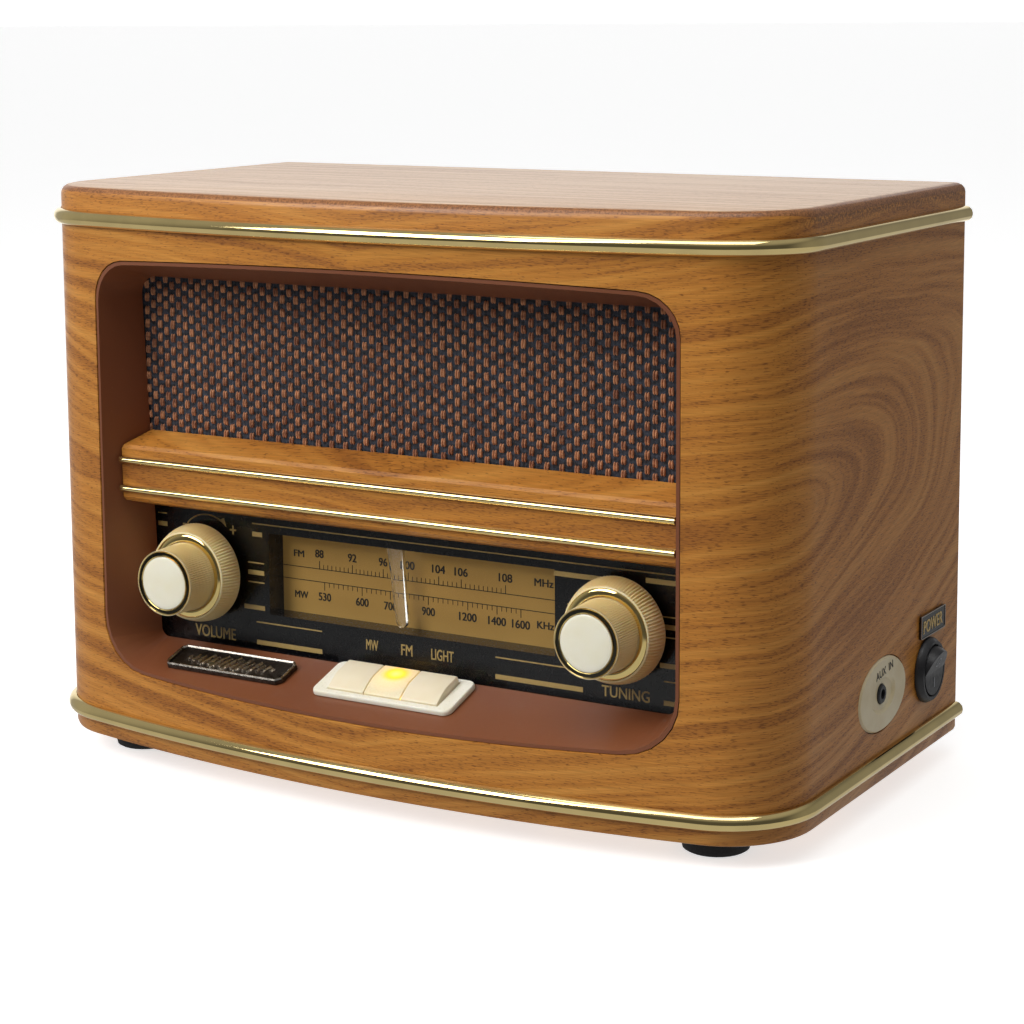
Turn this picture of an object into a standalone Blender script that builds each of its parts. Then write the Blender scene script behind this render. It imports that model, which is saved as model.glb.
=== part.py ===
"""Tabletop radio in a bent-plywood cabinet: an assembly of separate closed solids.

Metres, +Z up. The front faces -Y and +X is the listener's right. The origin is on the table,
under the middle of the body. Every moving piece has its object origin on its joint's axis.
"""

import math

import bmesh
import bpy
from mathutils import Matrix, Vector

GAP = 0.0003  # clearance between pieces that touch

# Cabinet
CABINET_WIDTH = 0.300
CABINET_DEPTH = 0.1732
BAND_OUT = 0.0030
BACK_Y = (CABINET_DEPTH + BAND_OUT) / 2
SIDE_LENGTH = 0.1304
CORNER_RADIUS = 0.0316
WALL = 0.009
UNDERSIDE_Z = 0.0080
TOP_Z = 0.2112
EDGE_ROUND = 0.0016
TOP_ROUND = 0.0034
BAND_TOP_Z = 0.19986
BAND_BOTTOM_Z = 0.01632
BAND_HALF = 0.0028

# The front wall's crown joins both corner arcs tangentially, which fixes its radius.
CORNER_X = CABINET_WIDTH / 2 - CORNER_RADIUS
CORNER_Y = BACK_Y - SIDE_LENGTH
BOW = CABINET_DEPTH - SIDE_LENGTH
FRONT_RADIUS = (CORNER_X**2 + BOW**2 - CORNER_RADIUS**2) / (2 * (BOW - CORNER_RADIUS))
FRONT_CENTRE_Y = BACK_Y - CABINET_DEPTH + FRONT_RADIUS
JOIN_ANGLE = math.asin(CORNER_X / (FRONT_RADIUS - CORNER_RADIUS))

# Drafted recess in the front: sizes at the panel plane, and slopes per metre towards the front
PANEL_Y = -0.0549
RECESS_TOP = 0.1781
RECESS_BOTTOM = 0.0439
RECESS_HALF_TOP = 0.1121
RECESS_HALF_BOTTOM = 0.1069
DRAFT_TOP = 0.345
DRAFT_BOTTOM = 0.379
DRAFT_SIDE_TOP = 0.277
DRAFT_SIDE_BOTTOM = 0.541
FRAME_WALL = 0.0012
FRAME_TAPER = 0.06
FLANGE = 0.007
FLANGE_DEPTH = 0.008

# Speaker side: cloth on a board, and the wooden bar under it
CLOTH_THICK = 0.0010
BOARD_THICK = 0.008
CLOTH_LOW = 0.0995
CLOTH_HIGH = 0.1860
CLOTH_HALF = 0.1170
SPEAKER_X = 0.058
SPEAKER_Z = 0.1475
SPEAKER_HOLE = 0.0305
BAR_FRONT_Y = -0.0674
BAR_LOW = 0.0970
BAR_HIGH = 0.1170
BAR_LOW_BACK = 0.0932
BAR_HIGH_BACK = 0.1213
STRIP_Z = (0.1119, 0.1013)
STRIP_HALF = 0.00145
STRIP_OUT = 0.0022

# Dial: clear lens, black mask with the window, scale plate, pointer and cord drive
LENS_THICK = 0.0025
LENS_HALF = 0.1120
LENS_LOW = 0.0400
LENS_HIGH = 0.0985
MASK_THICK = 0.0015
WINDOW_HALF = 0.0594
WINDOW_LOW = 0.0569
WINDOW_HIGH = 0.0869
SCALE_Y = -0.0429
SCALE_THICK = 0.0010
POINTER_Y = (-0.0495, -0.0475)
POINTER_TOP = (-0.0069, 0.0893)
POINTER_TIP = (-0.0042, 0.0582)
CORD_Y = -0.0389
CORD_RADIUS = 0.0004
CORD_SEAT = 0.0007
WHEEL_THICK = 0.004
CHASSIS_Y = (-0.0354, -0.0342)
KNOB_X = 0.0862
KNOB_Z = 0.0709
SHAFT_RADIUS = 0.003
CAPSTAN_RADIUS = 0.004
DRUM_CENTRE = (0.008, 0.0595)
DRUM_RADIUS = 0.028
PULLEY_X = 0.070
PULLEY_Z = 0.088
PULLEY_RADIUS = 0.006

# Keys on the sloping floor of the recess
FLOOR_SLOPE = DRAFT_BOTTOM - FRAME_TAPER
FLOOR_ANGLE = math.atan(FLOOR_SLOPE)
KEYS_Y = -0.0654
KEYS_X = 0.0030
KEY_WIDTH = 0.0147
KEY_PITCH = 0.0151
KEY_LENGTH = 0.0149
KEY_HEIGHT = 0.0048
KEY_DEPTH = 0.0030
BEZEL_LENGTH = 0.0204
BEZEL_HALF_WIDTH = 0.0284
BEZEL_THICK = 0.0020
BADGE_Y = -0.0670
BADGE_X = -0.0656
BADGE_SIZE = (0.0514, 0.0133, 0.0020)

# Right side: auxiliary socket and mains switch
AUX_Y = 0.0159
AUX_Z = 0.0397
AUX_HALF = (0.0209, 0.0129)
AUX_CHEEK = 0.0062
JACK_RADIUS = 0.0034
SWITCH_Y = 0.0575
SWITCH_Z = 0.0385
SWITCH_RADIUS = 0.01183
SWITCH_OUT = 0.0031
ROCKER_SWING = math.radians(24)
ROCKER_RADIUS = 0.0090
ROCKER_AXIS_OUT = 0.0014
SWITCH_BODY = 0.0110
LABEL_CENTRE = (0.0613, 0.0552)
LABEL_SIZE = (0.0236, 0.0084, 0.0006)

# Underneath and behind
FOOT_X = 0.1192
FOOT_FRONT_Y = -0.0502
FOOT_BACK_Y = 0.0620
FOOT_RADIUS = 0.0124
BACK_INSET = 0.002
BACK_THICK = 0.004
INLET_X = 0.085
INLET_Z = 0.045
INLET_HALF = 0.0078
INLET_DEPTH = 0.0130
GLAND_X = -0.095
GLAND_Z = 0.150

MATERIALS = {
    "front_wood": ((0.48, 0.24, 0.075), 0.38, 0.0),
    "top_wood": ((0.60, 0.40, 0.24), 0.42, 0.0),
    "board": ((0.45, 0.33, 0.20), 0.75, 0.0),
    "brown_paint": ((0.17, 0.065, 0.032), 0.45, 0.0),
    "grille_cloth": ((0.05, 0.045, 0.055), 0.9, 0.0),
    "brass": ((0.83, 0.66, 0.30), 0.14, 1.0),
    "clear": ((0.75, 0.75, 0.72), 0.05, 0.0),
    "black_gloss": ((0.012, 0.012, 0.014), 0.12, 0.0),
    "scale": ((0.36, 0.22, 0.06), 0.4, 0.0),
    "cord": ((0.65, 0.62, 0.55), 0.8, 0.0),
    "ivory": ((0.80, 0.70, 0.48), 0.32, 0.0),
    "steel": ((0.62, 0.62, 0.63), 0.3, 1.0),
    "bronze": ((0.12, 0.09, 0.07), 0.35, 0.9),
    "black_plastic": ((0.02, 0.02, 0.022), 0.4, 0.0),
    "rubber": ((0.015, 0.015, 0.016), 0.8, 0.0),
    "circuit": ((0.05, 0.20, 0.09), 0.5, 0.0),
    "ferrite": ((0.06, 0.055, 0.055), 0.7, 0.0),
}


def clear_scene():
    for obj in list(bpy.data.objects):
        bpy.data.objects.remove(obj, do_unlink=True)


def material(name):
    found = bpy.data.materials.get(name)
    if found:
        return found
    colour, roughness, metallic = MATERIALS[name]
    made = bpy.data.materials.new(name)
    made.use_nodes = True
    shader = made.node_tree.nodes["Principled BSDF"]
    shader.inputs["Base Color"].default_value = (*colour, 1.0)
    shader.inputs["Roughness"].default_value = roughness
    shader.inputs["Metallic"].default_value = metallic
    made.diffuse_color = (*colour, 1.0)
    return made


def skin(name, loops, slot, ring=False, location=(0, 0, 0), rotation=(0, 0, 0)):
    """Join closed loops of equal length into one closed body, capped unless it is a ring."""
    bm = bmesh.new()
    rows = [[bm.verts.new(point) for point in loop] for loop in loops]
    count = len(rows[0])
    pairs = list(zip(rows, rows[1:]))
    if ring:
        pairs.append((rows[-1], rows[0]))
    else:
        bm.faces.new(rows[0])
        bm.faces.new(rows[-1])
    for low, high in pairs:
        for i in range(count):
            j = (i + 1) % count
            bm.faces.new((low[i], low[j], high[j], high[i]))
    bmesh.ops.recalc_face_normals(bm, faces=bm.faces)
    mesh = bpy.data.meshes.new(name)
    bm.to_mesh(mesh)
    bm.free()
    mesh.shade_smooth()
    mesh.set_sharp_from_angle(angle=math.radians(32))
    mesh.materials.append(material(slot))
    obj = bpy.data.objects.new(name, mesh)
    obj.location = location
    obj.rotation_euler = rotation
    bpy.context.scene.collection.objects.link(obj)
    bpy.context.view_layer.update()
    return obj


def combine(target, others, operation="DIFFERENCE"):
    """Apply Booleans of the other objects to the target, then remove those objects."""
    for other in others:
        modifier = target.modifiers.new("combine", "BOOLEAN")
        modifier.operation = operation
        modifier.solver = "EXACT"
        modifier.object = other
    depsgraph = bpy.context.evaluated_depsgraph_get()
    mesh = bpy.data.meshes.new_from_object(target.evaluated_get(depsgraph))
    slot = target.data.materials[0]
    target.modifiers.clear()
    target.data = mesh
    mesh.materials.clear()
    mesh.materials.append(slot)
    for other in others:
        bpy.data.objects.remove(other, do_unlink=True)
    return target


def copy_of(source, name, location):
    """Another object that shares the source's mesh."""
    obj = bpy.data.objects.new(name, source.data)
    obj.location = location
    obj.rotation_euler = source.rotation_euler
    bpy.context.scene.collection.objects.link(obj)
    return obj


def arc(centre, radius, start, end, steps):
    """Points on a circle arc, both ends included; radius may be a pair for an ellipse."""
    across, along = radius if isinstance(radius, tuple) else (radius, radius)
    angles = [start + (end - start) * i / steps for i in range(steps + 1)]
    return [(centre[0] + across * math.cos(a), centre[1] + along * math.sin(a)) for a in angles]


def round_outline(radius, steps):
    """A whole circle, or an ellipse if the radius is a pair."""
    return arc((0, 0), radius, 0, 2 * math.pi, steps)[:-1]


def rectangle(x0, x1, y0, y1, corner=0.0, steps=4):
    """A rectangle's outline, with rounded corners if a corner radius is given."""
    if corner <= 0:
        return [(x1, y0), (x1, y1), (x0, y1), (x0, y0)]
    points = []
    centres = ((x1 - corner, y0 + corner), (x1 - corner, y1 - corner),
               (x0 + corner, y1 - corner), (x0 + corner, y0 + corner))
    for quarter, centre in enumerate(centres):
        start = (quarter - 1) * math.pi / 2
        points += arc(centre, corner, start, start + math.pi / 2, steps)
    return points


def box(name, low, high, slot, chamfer=0.0):
    """A block between two corners, with its upper edges chamfered if asked."""
    levels = [(low[2], 0.0), (high[2] - chamfer, 0.0), (high[2], chamfer)]
    if chamfer <= 0:
        levels = [(low[2], 0.0), (high[2], 0.0)]
    loops = []
    for z, inset in levels:
        outline = rectangle(low[0] + inset, high[0] - inset, low[1] + inset, high[1] - inset)
        loops.append([(x, y, z) for x, y in outline])
    return skin(name, loops, slot)


def panel_xz(name, outline, front, back, slot):
    """An upright plate: an outline in X and Z between two Y planes."""
    return skin(name, [[(x, y, z) for x, z in outline] for y in (front, back)], slot)


FACING_FRONT = (math.pi / 2, 0, 0)
FACING_RIGHT = (0, math.pi / 2, 0)
FACING_UP = (0, 0, 0)
FACING_BACK = (-math.pi / 2, 0, 0)


def turned(name, profile, slot, location, rotation, ring=False, steps=28):
    """Revolve a profile of (radius, height) about the local Z axis."""
    loops = [[(x, y, h) for x, y in round_outline(r, steps)] for r, h in profile]
    return skin(name, loops, slot, ring, location, rotation)


def wrap_path(grow=0.0, corner_steps=12, front_steps=24):
    """Plan of the bent wall from its left back edge round the front to its right back edge."""
    half = CABINET_WIDTH / 2 + grow
    turns = ((-CORNER_X, CORNER_Y, CORNER_RADIUS, math.pi / 2, JOIN_ANGLE, corner_steps),
             (0.0, FRONT_CENTRE_Y, FRONT_RADIUS, JOIN_ANGLE, -JOIN_ANGLE, front_steps),
             (CORNER_X, CORNER_Y, CORNER_RADIUS, -JOIN_ANGLE, -math.pi / 2, corner_steps))
    points = [(-half, BACK_Y)]
    for x, y, radius, start, end, steps in turns:
        for i in range(steps + 1):
            if i == 0 and len(points) > 1:
                continue
            turn = start + (end - start) * i / steps
            reach = radius + grow
            points.append((x - reach * math.sin(turn), y - reach * math.cos(turn)))
    points.append((half, BACK_Y))
    return points


def sweep_wrap(name, profile, slot):
    """Sweep a closed profile of (outward distance, height) along the bent wall."""
    paths = [[(x, y, z) for x, y in wrap_path(grow)] for grow, z in profile]
    return skin(name, list(zip(*paths)), slot)


def plan_board(name, levels, slot):
    """A board with the cabinet's plan, built from levels of (height, outward distance)."""
    loops = []
    for z, grow in levels:
        outline = wrap_path(grow)
        outline[0] = (outline[0][0], BACK_Y + grow)
        outline[-1] = (outline[-1][0], BACK_Y + grow)
        loops.append([(x, y, z) for x, y in outline])
    return skin(name, loops, slot)


def recess_outline(ahead, grow=0.0):
    """Outline of the drafted recess, at a distance ahead of the panel plane."""
    top = RECESS_TOP + DRAFT_TOP * ahead + grow
    bottom = RECESS_BOTTOM - DRAFT_BOTTOM * ahead - grow
    half_top = RECESS_HALF_TOP + DRAFT_SIDE_TOP * ahead + grow
    half_bottom = RECESS_HALF_BOTTOM + DRAFT_SIDE_BOTTOM * ahead + grow
    top_corner = 0.0065 + 0.375 * ahead + grow * 0.5
    bottom_corner = 0.0035 + 0.780 * ahead + grow * 0.5
    corners = ((half_bottom, bottom, bottom_corner, 1, 1), (half_top, top, top_corner, 1, -1),
               (-half_top, top, top_corner, -1, -1), (-half_bottom, bottom, bottom_corner, -1, 1))
    points = []
    for quarter, (x, z, radius, side, up) in enumerate(corners):
        centre = (x - side * radius, z + up * radius)
        start = (quarter - 1) * math.pi / 2
        points += arc(centre, radius, start, start + math.pi / 2, 6)
    return split_long(points, 4)


def split_long(points, parts):
    """Divide the outline's four straight runs, which join its rounded corners."""
    result = []
    for i, point in enumerate(points):
        result.append(point)
        if i % 7 == 6:
            following = points[(i + 1) % len(points)]
            for k in range(1, parts):
                t = k / parts
                result.append((point[0] + (following[0] - point[0]) * t,
                               point[1] + (following[1] - point[1]) * t))
    return result


def opening_grow(ahead):
    """How far the cut in the wooden wall stands outside the recess's drafted outline."""
    return FRAME_WALL + GAP - FRAME_TAPER * ahead


def recess_loop(ahead, grow):
    return [(x, PANEL_Y - ahead, z) for x, z in recess_outline(ahead, grow)]


def half_round(half, out, middle, steps=6):
    """Profile of a half-round strip: (outward distance, height)."""
    return arc((GAP, middle), (out - GAP, half), -math.pi / 2, math.pi / 2, steps)


def build_cabinet():
    low = BAND_BOTTOM_Z + GAP / 2
    high = BAND_TOP_Z - GAP / 2
    shell = sweep_wrap("cabinet_shell", [(-WALL, low), (0, low), (0, high), (-WALL, high)],
                       "front_wood")
    steps = (-0.004, 0.0, 0.010, 0.020, 0.030, 0.040)
    opening = skin("opening", [recess_loop(a, opening_grow(a)) for a in steps], "board")
    aux = skin("aux_cut", ellipse_loops((AUX_HALF[0] + GAP, AUX_HALF[1] + GAP),
                                        (0.135, 0.155)), "board")
    switch = turned("switch_cut", [(SWITCH_BODY + GAP, -0.02), (SWITCH_BODY + GAP, 0.02)], "board",
                    (CABINET_WIDTH / 2, SWITCH_Y, SWITCH_Z), FACING_RIGHT)
    combine(shell, [opening, aux, switch])
    bend = EDGE_ROUND * (1 - math.sqrt(0.5))
    base = BAND_TOP_Z + GAP / 2
    soft_edge = arc((-TOP_ROUND, TOP_Z - TOP_ROUND), TOP_ROUND, 0, math.pi / 2, 4)
    plan_board("cabinet_top", [(base, 0)] + [(z, out) for out, z in soft_edge], "top_wood")
    crown = BAND_BOTTOM_Z - GAP / 2
    plan_board("cabinet_bottom", [(UNDERSIDE_Z, -EDGE_ROUND), (UNDERSIDE_Z + bend, -bend),
                                  (UNDERSIDE_Z + EDGE_ROUND, 0), (crown, 0)], "front_wood")
    for name, z in (("trim_band_top", BAND_TOP_Z), ("trim_band_bottom", BAND_BOTTOM_Z)):
        sweep_wrap(name, half_round(BAND_HALF, BAND_OUT, z), "brass")


def ellipse_loops(radii, planes, centre=(AUX_Y, AUX_Z), steps=32):
    """Upright ellipses in Y and Z, one at each X plane."""
    outline = round_outline(radii, steps)
    return [[(x, centre[0] + y, centre[1] + z) for y, z in outline] for x in planes]


def build_recess_frame():
    outer = [(a, opening_grow(a) - GAP) for a in (0.040, 0.030, 0.020, 0.010, 0.0085)]
    flange = [(FLANGE_DEPTH, FLANGE), (0.0, FLANGE)]
    inner = [(a, -FRAME_TAPER * a) for a in (0.0, 0.010, 0.020, 0.030, 0.040)]
    loops = [recess_loop(ahead, grow) for ahead, grow in outer + flange + inner]
    frame = skin("recess_frame", loops, "brown_paint", ring=True)
    front = plan_board("front_volume", [(0.012, -GAP), (0.204, -GAP)], "board")
    combine(frame, [front], "INTERSECT")
    half = KEY_PITCH + KEY_WIDTH / 2 + GAP
    reach = KEY_LENGTH / 2 + GAP
    well = on_floor("key_well", rectangle(-half, half, -reach, reach), (-0.012, 0.004), "board",
                    KEYS_Y, KEYS_X)
    combine(frame, [well])


def floor_matrix(y, x=0.0):
    """Local X across, local Y up the slope to the back, local Z square to the recess floor."""
    z = RECESS_BOTTOM - FLOOR_SLOPE * (PANEL_Y - y)
    return Matrix.Translation((x, y, z)) @ Matrix.Rotation(FLOOR_ANGLE, 4, "X")


def on_floor(name, outline, heights, slot, y, x=0.0):
    """A plate on the recess floor: an outline across and up the slope, between two heights."""
    matrix = floor_matrix(y, x)
    loops = [[(u, v, h) for u, v in outline] for h in heights]
    return skin(name, loops, slot, False, matrix.to_translation(), matrix.to_euler())


def build_speaker_side():
    front = PANEL_Y + GAP
    cloth = rectangle(-CLOTH_HALF, CLOTH_HALF, CLOTH_LOW, CLOTH_HIGH, 0.003)
    panel_xz("grille_cloth", cloth, front, front + CLOTH_THICK, "grille_cloth")
    face = front + CLOTH_THICK + GAP
    board = panel_xz("baffle_board", rectangle(-0.1185, 0.1185, CLOTH_LOW, 0.1900),
                     face, face + BOARD_THICK, "board")
    cutters = []
    for side in (-1, 1):
        cutters.append(turned("speaker_cut", [(SPEAKER_HOLE, -0.02), (SPEAKER_HOLE, 0.02)],
                              "board", (side * SPEAKER_X, face, SPEAKER_Z), FACING_BACK))
    combine(board, cutters)
    back = face + BOARD_THICK + GAP
    profile = [(0.0050, 0.0165), (0.0130, 0.0080), (0.0270, 0.0010), (0.0285, 0.0000),
               (0.0350, 0.0000), (0.0350, 0.0022), (0.0290, 0.0030), (0.0180, 0.0160),
               (0.0180, 0.0200), (0.0220, 0.0200), (0.0220, 0.0320), (0.0050, 0.0320)]
    left = turned("speaker_left", profile, "black_plastic", (-SPEAKER_X, back, SPEAKER_Z),
                  FACING_BACK, steps=20)
    copy_of(left, "speaker_right", (SPEAKER_X, back, SPEAKER_Z))


def wall_half(z, ahead):
    """Half the recess's width between its painted side walls, at a height and a depth."""
    share = (z - RECESS_BOTTOM) / (RECESS_TOP - RECESS_BOTTOM)
    top = RECESS_HALF_TOP + (DRAFT_SIDE_TOP - FRAME_TAPER) * ahead
    bottom = RECESS_HALF_BOTTOM + (DRAFT_SIDE_BOTTOM - FRAME_TAPER) * ahead
    return bottom + (top - bottom) * share


def build_cross_bar():
    soft = 0.0010
    section = [(PANEL_Y, BAR_LOW_BACK), (BAR_FRONT_Y + soft, BAR_LOW - 0.0003),
               (BAR_FRONT_Y, BAR_LOW + soft), (BAR_FRONT_Y, BAR_HIGH - soft),
               (BAR_FRONT_Y + soft, BAR_HIGH + 0.0003), (PANEL_Y, BAR_HIGH_BACK)]
    ends = []
    for side in (-1, 1):
        reach = [side * (wall_half(z, PANEL_Y - y) - 2 * GAP) for y, z in section]
        ends.append([(x, y, z) for x, (y, z) in zip(reach, section)])
    skin("cross_bar", ends, "front_wood")
    half = wall_half(STRIP_Z[1], PANEL_Y - BAR_FRONT_Y) - 2 * GAP
    for name, z in zip(("bar_strip_upper", "bar_strip_lower"), STRIP_Z):
        outline = half_round(STRIP_HALF, STRIP_OUT, z)
        loops = [[(x, BAR_FRONT_Y - out, height) for out, height in outline]
                 for x in (-half, half)]
        skin(name, loops, "brass")


def build_dial():
    front = PANEL_Y + GAP
    lens = panel_xz("dial_lens", rectangle(-LENS_HALF, LENS_HALF, LENS_LOW, LENS_HIGH, 0.003),
                    front, front + LENS_THICK, "clear")
    combine(lens, shaft_holes(front))
    face = front + LENS_THICK + GAP
    mask = panel_xz("dial_mask", rectangle(-LENS_HALF, LENS_HALF, LENS_LOW, LENS_HIGH, 0.003),
                    face, face + MASK_THICK, "black_gloss")
    rear = SCALE_Y - GAP
    wall = 0.0016
    tunnel = box("tunnel", (-WINDOW_HALF - wall, face + 0.0005, WINDOW_LOW - wall),
                 (WINDOW_HALF + wall, rear, WINDOW_HIGH + wall), "black_gloss")
    combine(mask, [tunnel], "UNION")
    window = box("window", (-WINDOW_HALF, face - 0.01, WINDOW_LOW),
                 (WINDOW_HALF, rear + 0.01, WINDOW_HIGH), "board")
    roof = box("roof", (-WINDOW_HALF - 0.0001, face + MASK_THICK, WINDOW_HIGH - 0.001),
               (WINDOW_HALF + 0.0001, rear + 0.01, WINDOW_HIGH + 0.01), "board")
    combine(mask, [window, roof] + shaft_holes(front))
    panel_xz("scale_plate", rectangle(-0.0640, 0.0640, 0.0520, 0.0890, 0.001),
             SCALE_Y, SCALE_Y + SCALE_THICK, "scale")


def shaft_holes(y):
    return [turned("shaft_cut", [(0.0042, -0.02), (0.0042, 0.02)], "board",
                   (side * KNOB_X, y, KNOB_Z), FACING_FRONT, steps=20) for side in (-1, 1)]


def build_pointer():
    """Clear tapered bar that leans a little, and the carriage that grips the dial cord."""
    top_half = 0.0032
    tip_half = 0.0021
    middle = ((POINTER_TOP[0] + POINTER_TIP[0]) / 2)
    tip_x = POINTER_TIP[0] - middle
    tip = arc((tip_x, POINTER_TIP[1] + tip_half), tip_half, -math.pi, 0, 6)
    top_x = POINTER_TOP[0] - middle
    outline = tip + [(top_x + top_half, POINTER_TOP[1]), (top_x - top_half, POINTER_TOP[1])]
    loops = [[(x, y, z) for x, z in outline] for y in POINTER_Y]
    skin("dial_pointer", loops, "clear", location=(middle, 0, 0))
    low = POINTER_TOP[1] + GAP
    back = CORD_Y - CORD_RADIUS - GAP
    section = [(POINTER_Y[0], low), (back, low), (back, 0.0975), (back - 0.0012, 0.0975),
               (back - 0.0012, low + 0.0014), (POINTER_Y[0], low + 0.0014)]
    loops = [[(x, y, z) for y, z in section] for x in (top_x - 0.004, top_x + 0.004)]
    skin("pointer_carriage", loops, "black_plastic", location=(middle, 0, 0))


def belt_route(wheels, steps_per_turn=28):
    """A closed belt run clockwise round wheels of (x, z, radius), along their outer tangents."""
    count = len(wheels)
    leave = []
    for i in range(count):
        x0, z0, r0 = wheels[i]
        x1, z1, r1 = wheels[(i + 1) % count]
        along = math.atan2(z1 - z0, x1 - x0)
        leave.append(along + math.acos((r0 - r1) / math.hypot(x1 - x0, z1 - z0)))
    points = []
    for i in range(count):
        x, z, radius = wheels[i]
        start = leave[i - 1]
        end = leave[i]
        while end > start:
            end -= 2 * math.pi
        steps = max(2, round((start - end) / (2 * math.pi) * steps_per_turn))
        points += arc((x, z), radius, start, end, steps)
    return points


def build_cord_drive():
    reach = CORD_SEAT
    wheels = [(-PULLEY_X, PULLEY_Z, PULLEY_RADIUS + reach), (PULLEY_X, PULLEY_Z, PULLEY_RADIUS + reach),
              (KNOB_X, KNOB_Z, CAPSTAN_RADIUS + reach), (*DRUM_CENTRE, DRUM_RADIUS + reach)]
    route = belt_route(wheels)
    curve = bpy.data.curves.new("dial_cord", "CURVE")
    curve.dimensions = "3D"
    curve.bevel_depth = CORD_RADIUS
    curve.bevel_resolution = 2
    spline = curve.splines.new("POLY")
    spline.points.add(len(route) - 1)
    for point, (x, z) in zip(spline.points, route):
        point.co = (x, CORD_Y, z, 1.0)
    spline.use_cyclic_u = True
    curve.materials.append(material("cord"))
    bpy.context.scene.collection.objects.link(bpy.data.objects.new("dial_cord", curve))
    half = WHEEL_THICK / 2
    rim = 0.0010
    profile = [(0.0016, -half), (PULLEY_RADIUS + rim, -half), (PULLEY_RADIUS + rim, -0.0012),
               (PULLEY_RADIUS, -0.0009), (PULLEY_RADIUS, 0.0009), (PULLEY_RADIUS + rim, 0.0012),
               (PULLEY_RADIUS + rim, half), (0.0016, half)]
    left = turned("cord_pulley_left", profile, "ivory", (-PULLEY_X, CORD_Y, PULLEY_Z),
                  FACING_FRONT, ring=True, steps=16)
    copy_of(left, "cord_pulley_right", (PULLEY_X, CORD_Y, PULLEY_Z))
    deep = 0.0015
    profile = [(SHAFT_RADIUS, -0.0046), (SHAFT_RADIUS, -half), (DRUM_RADIUS + rim, -half),
               (DRUM_RADIUS + rim, -0.0012), (DRUM_RADIUS, -0.0009), (DRUM_RADIUS, 0.0009),
               (DRUM_RADIUS + rim, 0.0012), (DRUM_RADIUS + rim, half),
               (DRUM_RADIUS - 0.003, half), (DRUM_RADIUS - 0.004, half - deep),
               (0.0060, half - deep), (0.0055, half)]
    turned("tuning_drum", profile, "ivory", (DRUM_CENTRE[0], CORD_Y, DRUM_CENTRE[1]),
           FACING_FRONT)
    chassis = box("dial_chassis", (-0.100, CHASSIS_Y[0], 0.030), (0.100, CHASSIS_Y[1], 0.098),
                  "steel")
    spots = ((-KNOB_X, KNOB_Z), (KNOB_X, KNOB_Z), DRUM_CENTRE)
    holes = [turned("chassis_cut", [(0.0033, -0.01), (0.0033, 0.01)], "board",
                    (x, CHASSIS_Y[0], z), FACING_FRONT, steps=20) for x, z in spots]
    combine(chassis, holes)
    pins = [turned("pulley_pin", [(0.0013, -0.0010), (0.0013, 0.0060)], "steel",
                   (side * PULLEY_X, CHASSIS_Y[0], PULLEY_Z), FACING_FRONT, steps=12)
            for side in (-1, 1)]
    combine(chassis, pins, "UNION")
    rear = CHASSIS_Y[1] + GAP
    box("tuning_capacitor", (DRUM_CENTRE[0] - 0.0125, rear, DRUM_CENTRE[1] - 0.0125),
        (DRUM_CENTRE[0] + 0.0125, rear + 0.0180, DRUM_CENTRE[1] + 0.0125), "clear", 0.001)


def build_knob(prefix, x):
    """Two-tier knob: ivory body, bright ring in each tier, ivory cap in front."""
    back = -0.0571
    place = (x, back, KNOB_Z)
    body = [(0.0032, 0.0000), (0.0176, 0.0000), (0.01814, 0.0006), (0.0179, 0.0030),
            (0.0170, 0.0064), (0.01605, 0.0084), (0.0155, 0.0087), (0.01545, 0.0078),
            (0.0127, 0.0078), (0.0124, 0.0090), (0.0121, 0.0150), (0.01187, 0.0214),
            (0.0114, 0.0217), (0.01135, 0.0204), (0.0032, 0.0204)]
    turned(f"{prefix}_knob", body, "ivory", place, FACING_FRONT, ring=True)
    ring = [(0.0130, 0.0081), (0.0151, 0.0081), (0.0151, 0.0085), (0.0130, 0.0091)]
    turned(f"{prefix}_knob_ring", ring, "brass", place, FACING_FRONT, ring=True)
    bezel = [(0.0099, 0.0207), (0.0110, 0.0207), (0.0110, 0.0212), (0.0099, 0.0217)]
    turned(f"{prefix}_knob_bezel", bezel, "brass", place, FACING_FRONT, ring=True)
    cap = [(0.0096, 0.0207), (0.0096, 0.0216), (0.0090, 0.0219), (0.0060, 0.0221), (0.0020, 0.0222)]
    turned(f"{prefix}_knob_cap", cap, "ivory", place, FACING_FRONT)


def build_controls():
    build_knob("volume", -KNOB_X)
    build_knob("tuning", KNOB_X)
    back = -0.0571
    nose = 0.0200
    capstan = (back - CORD_Y + 0.0020, back - CORD_Y - 0.0020)
    profile = [(SHAFT_RADIUS, nose), (SHAFT_RADIUS, capstan[0]), (CAPSTAN_RADIUS, capstan[0]),
               (CAPSTAN_RADIUS, capstan[1]), (SHAFT_RADIUS, capstan[1]), (SHAFT_RADIUS, -0.0290)]
    turned("tuning_shaft", profile, "steel", (KNOB_X, back, KNOB_Z), FACING_FRONT, steps=20)
    end = back - CHASSIS_Y[1] - 0.0080
    turned("volume_shaft", [(SHAFT_RADIUS, nose), (SHAFT_RADIUS, end)], "steel",
           (-KNOB_X, back, KNOB_Z), FACING_FRONT, steps=20)
    rear = CHASSIS_Y[1] + GAP
    control = [(0.0034, 0.0), (0.0082, 0.0), (0.0082, 0.0110), (0.0034, 0.0110)]
    turned("volume_control", control, "steel", (-KNOB_X, rear, KNOB_Z), FACING_BACK, ring=True,
           steps=20)


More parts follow.
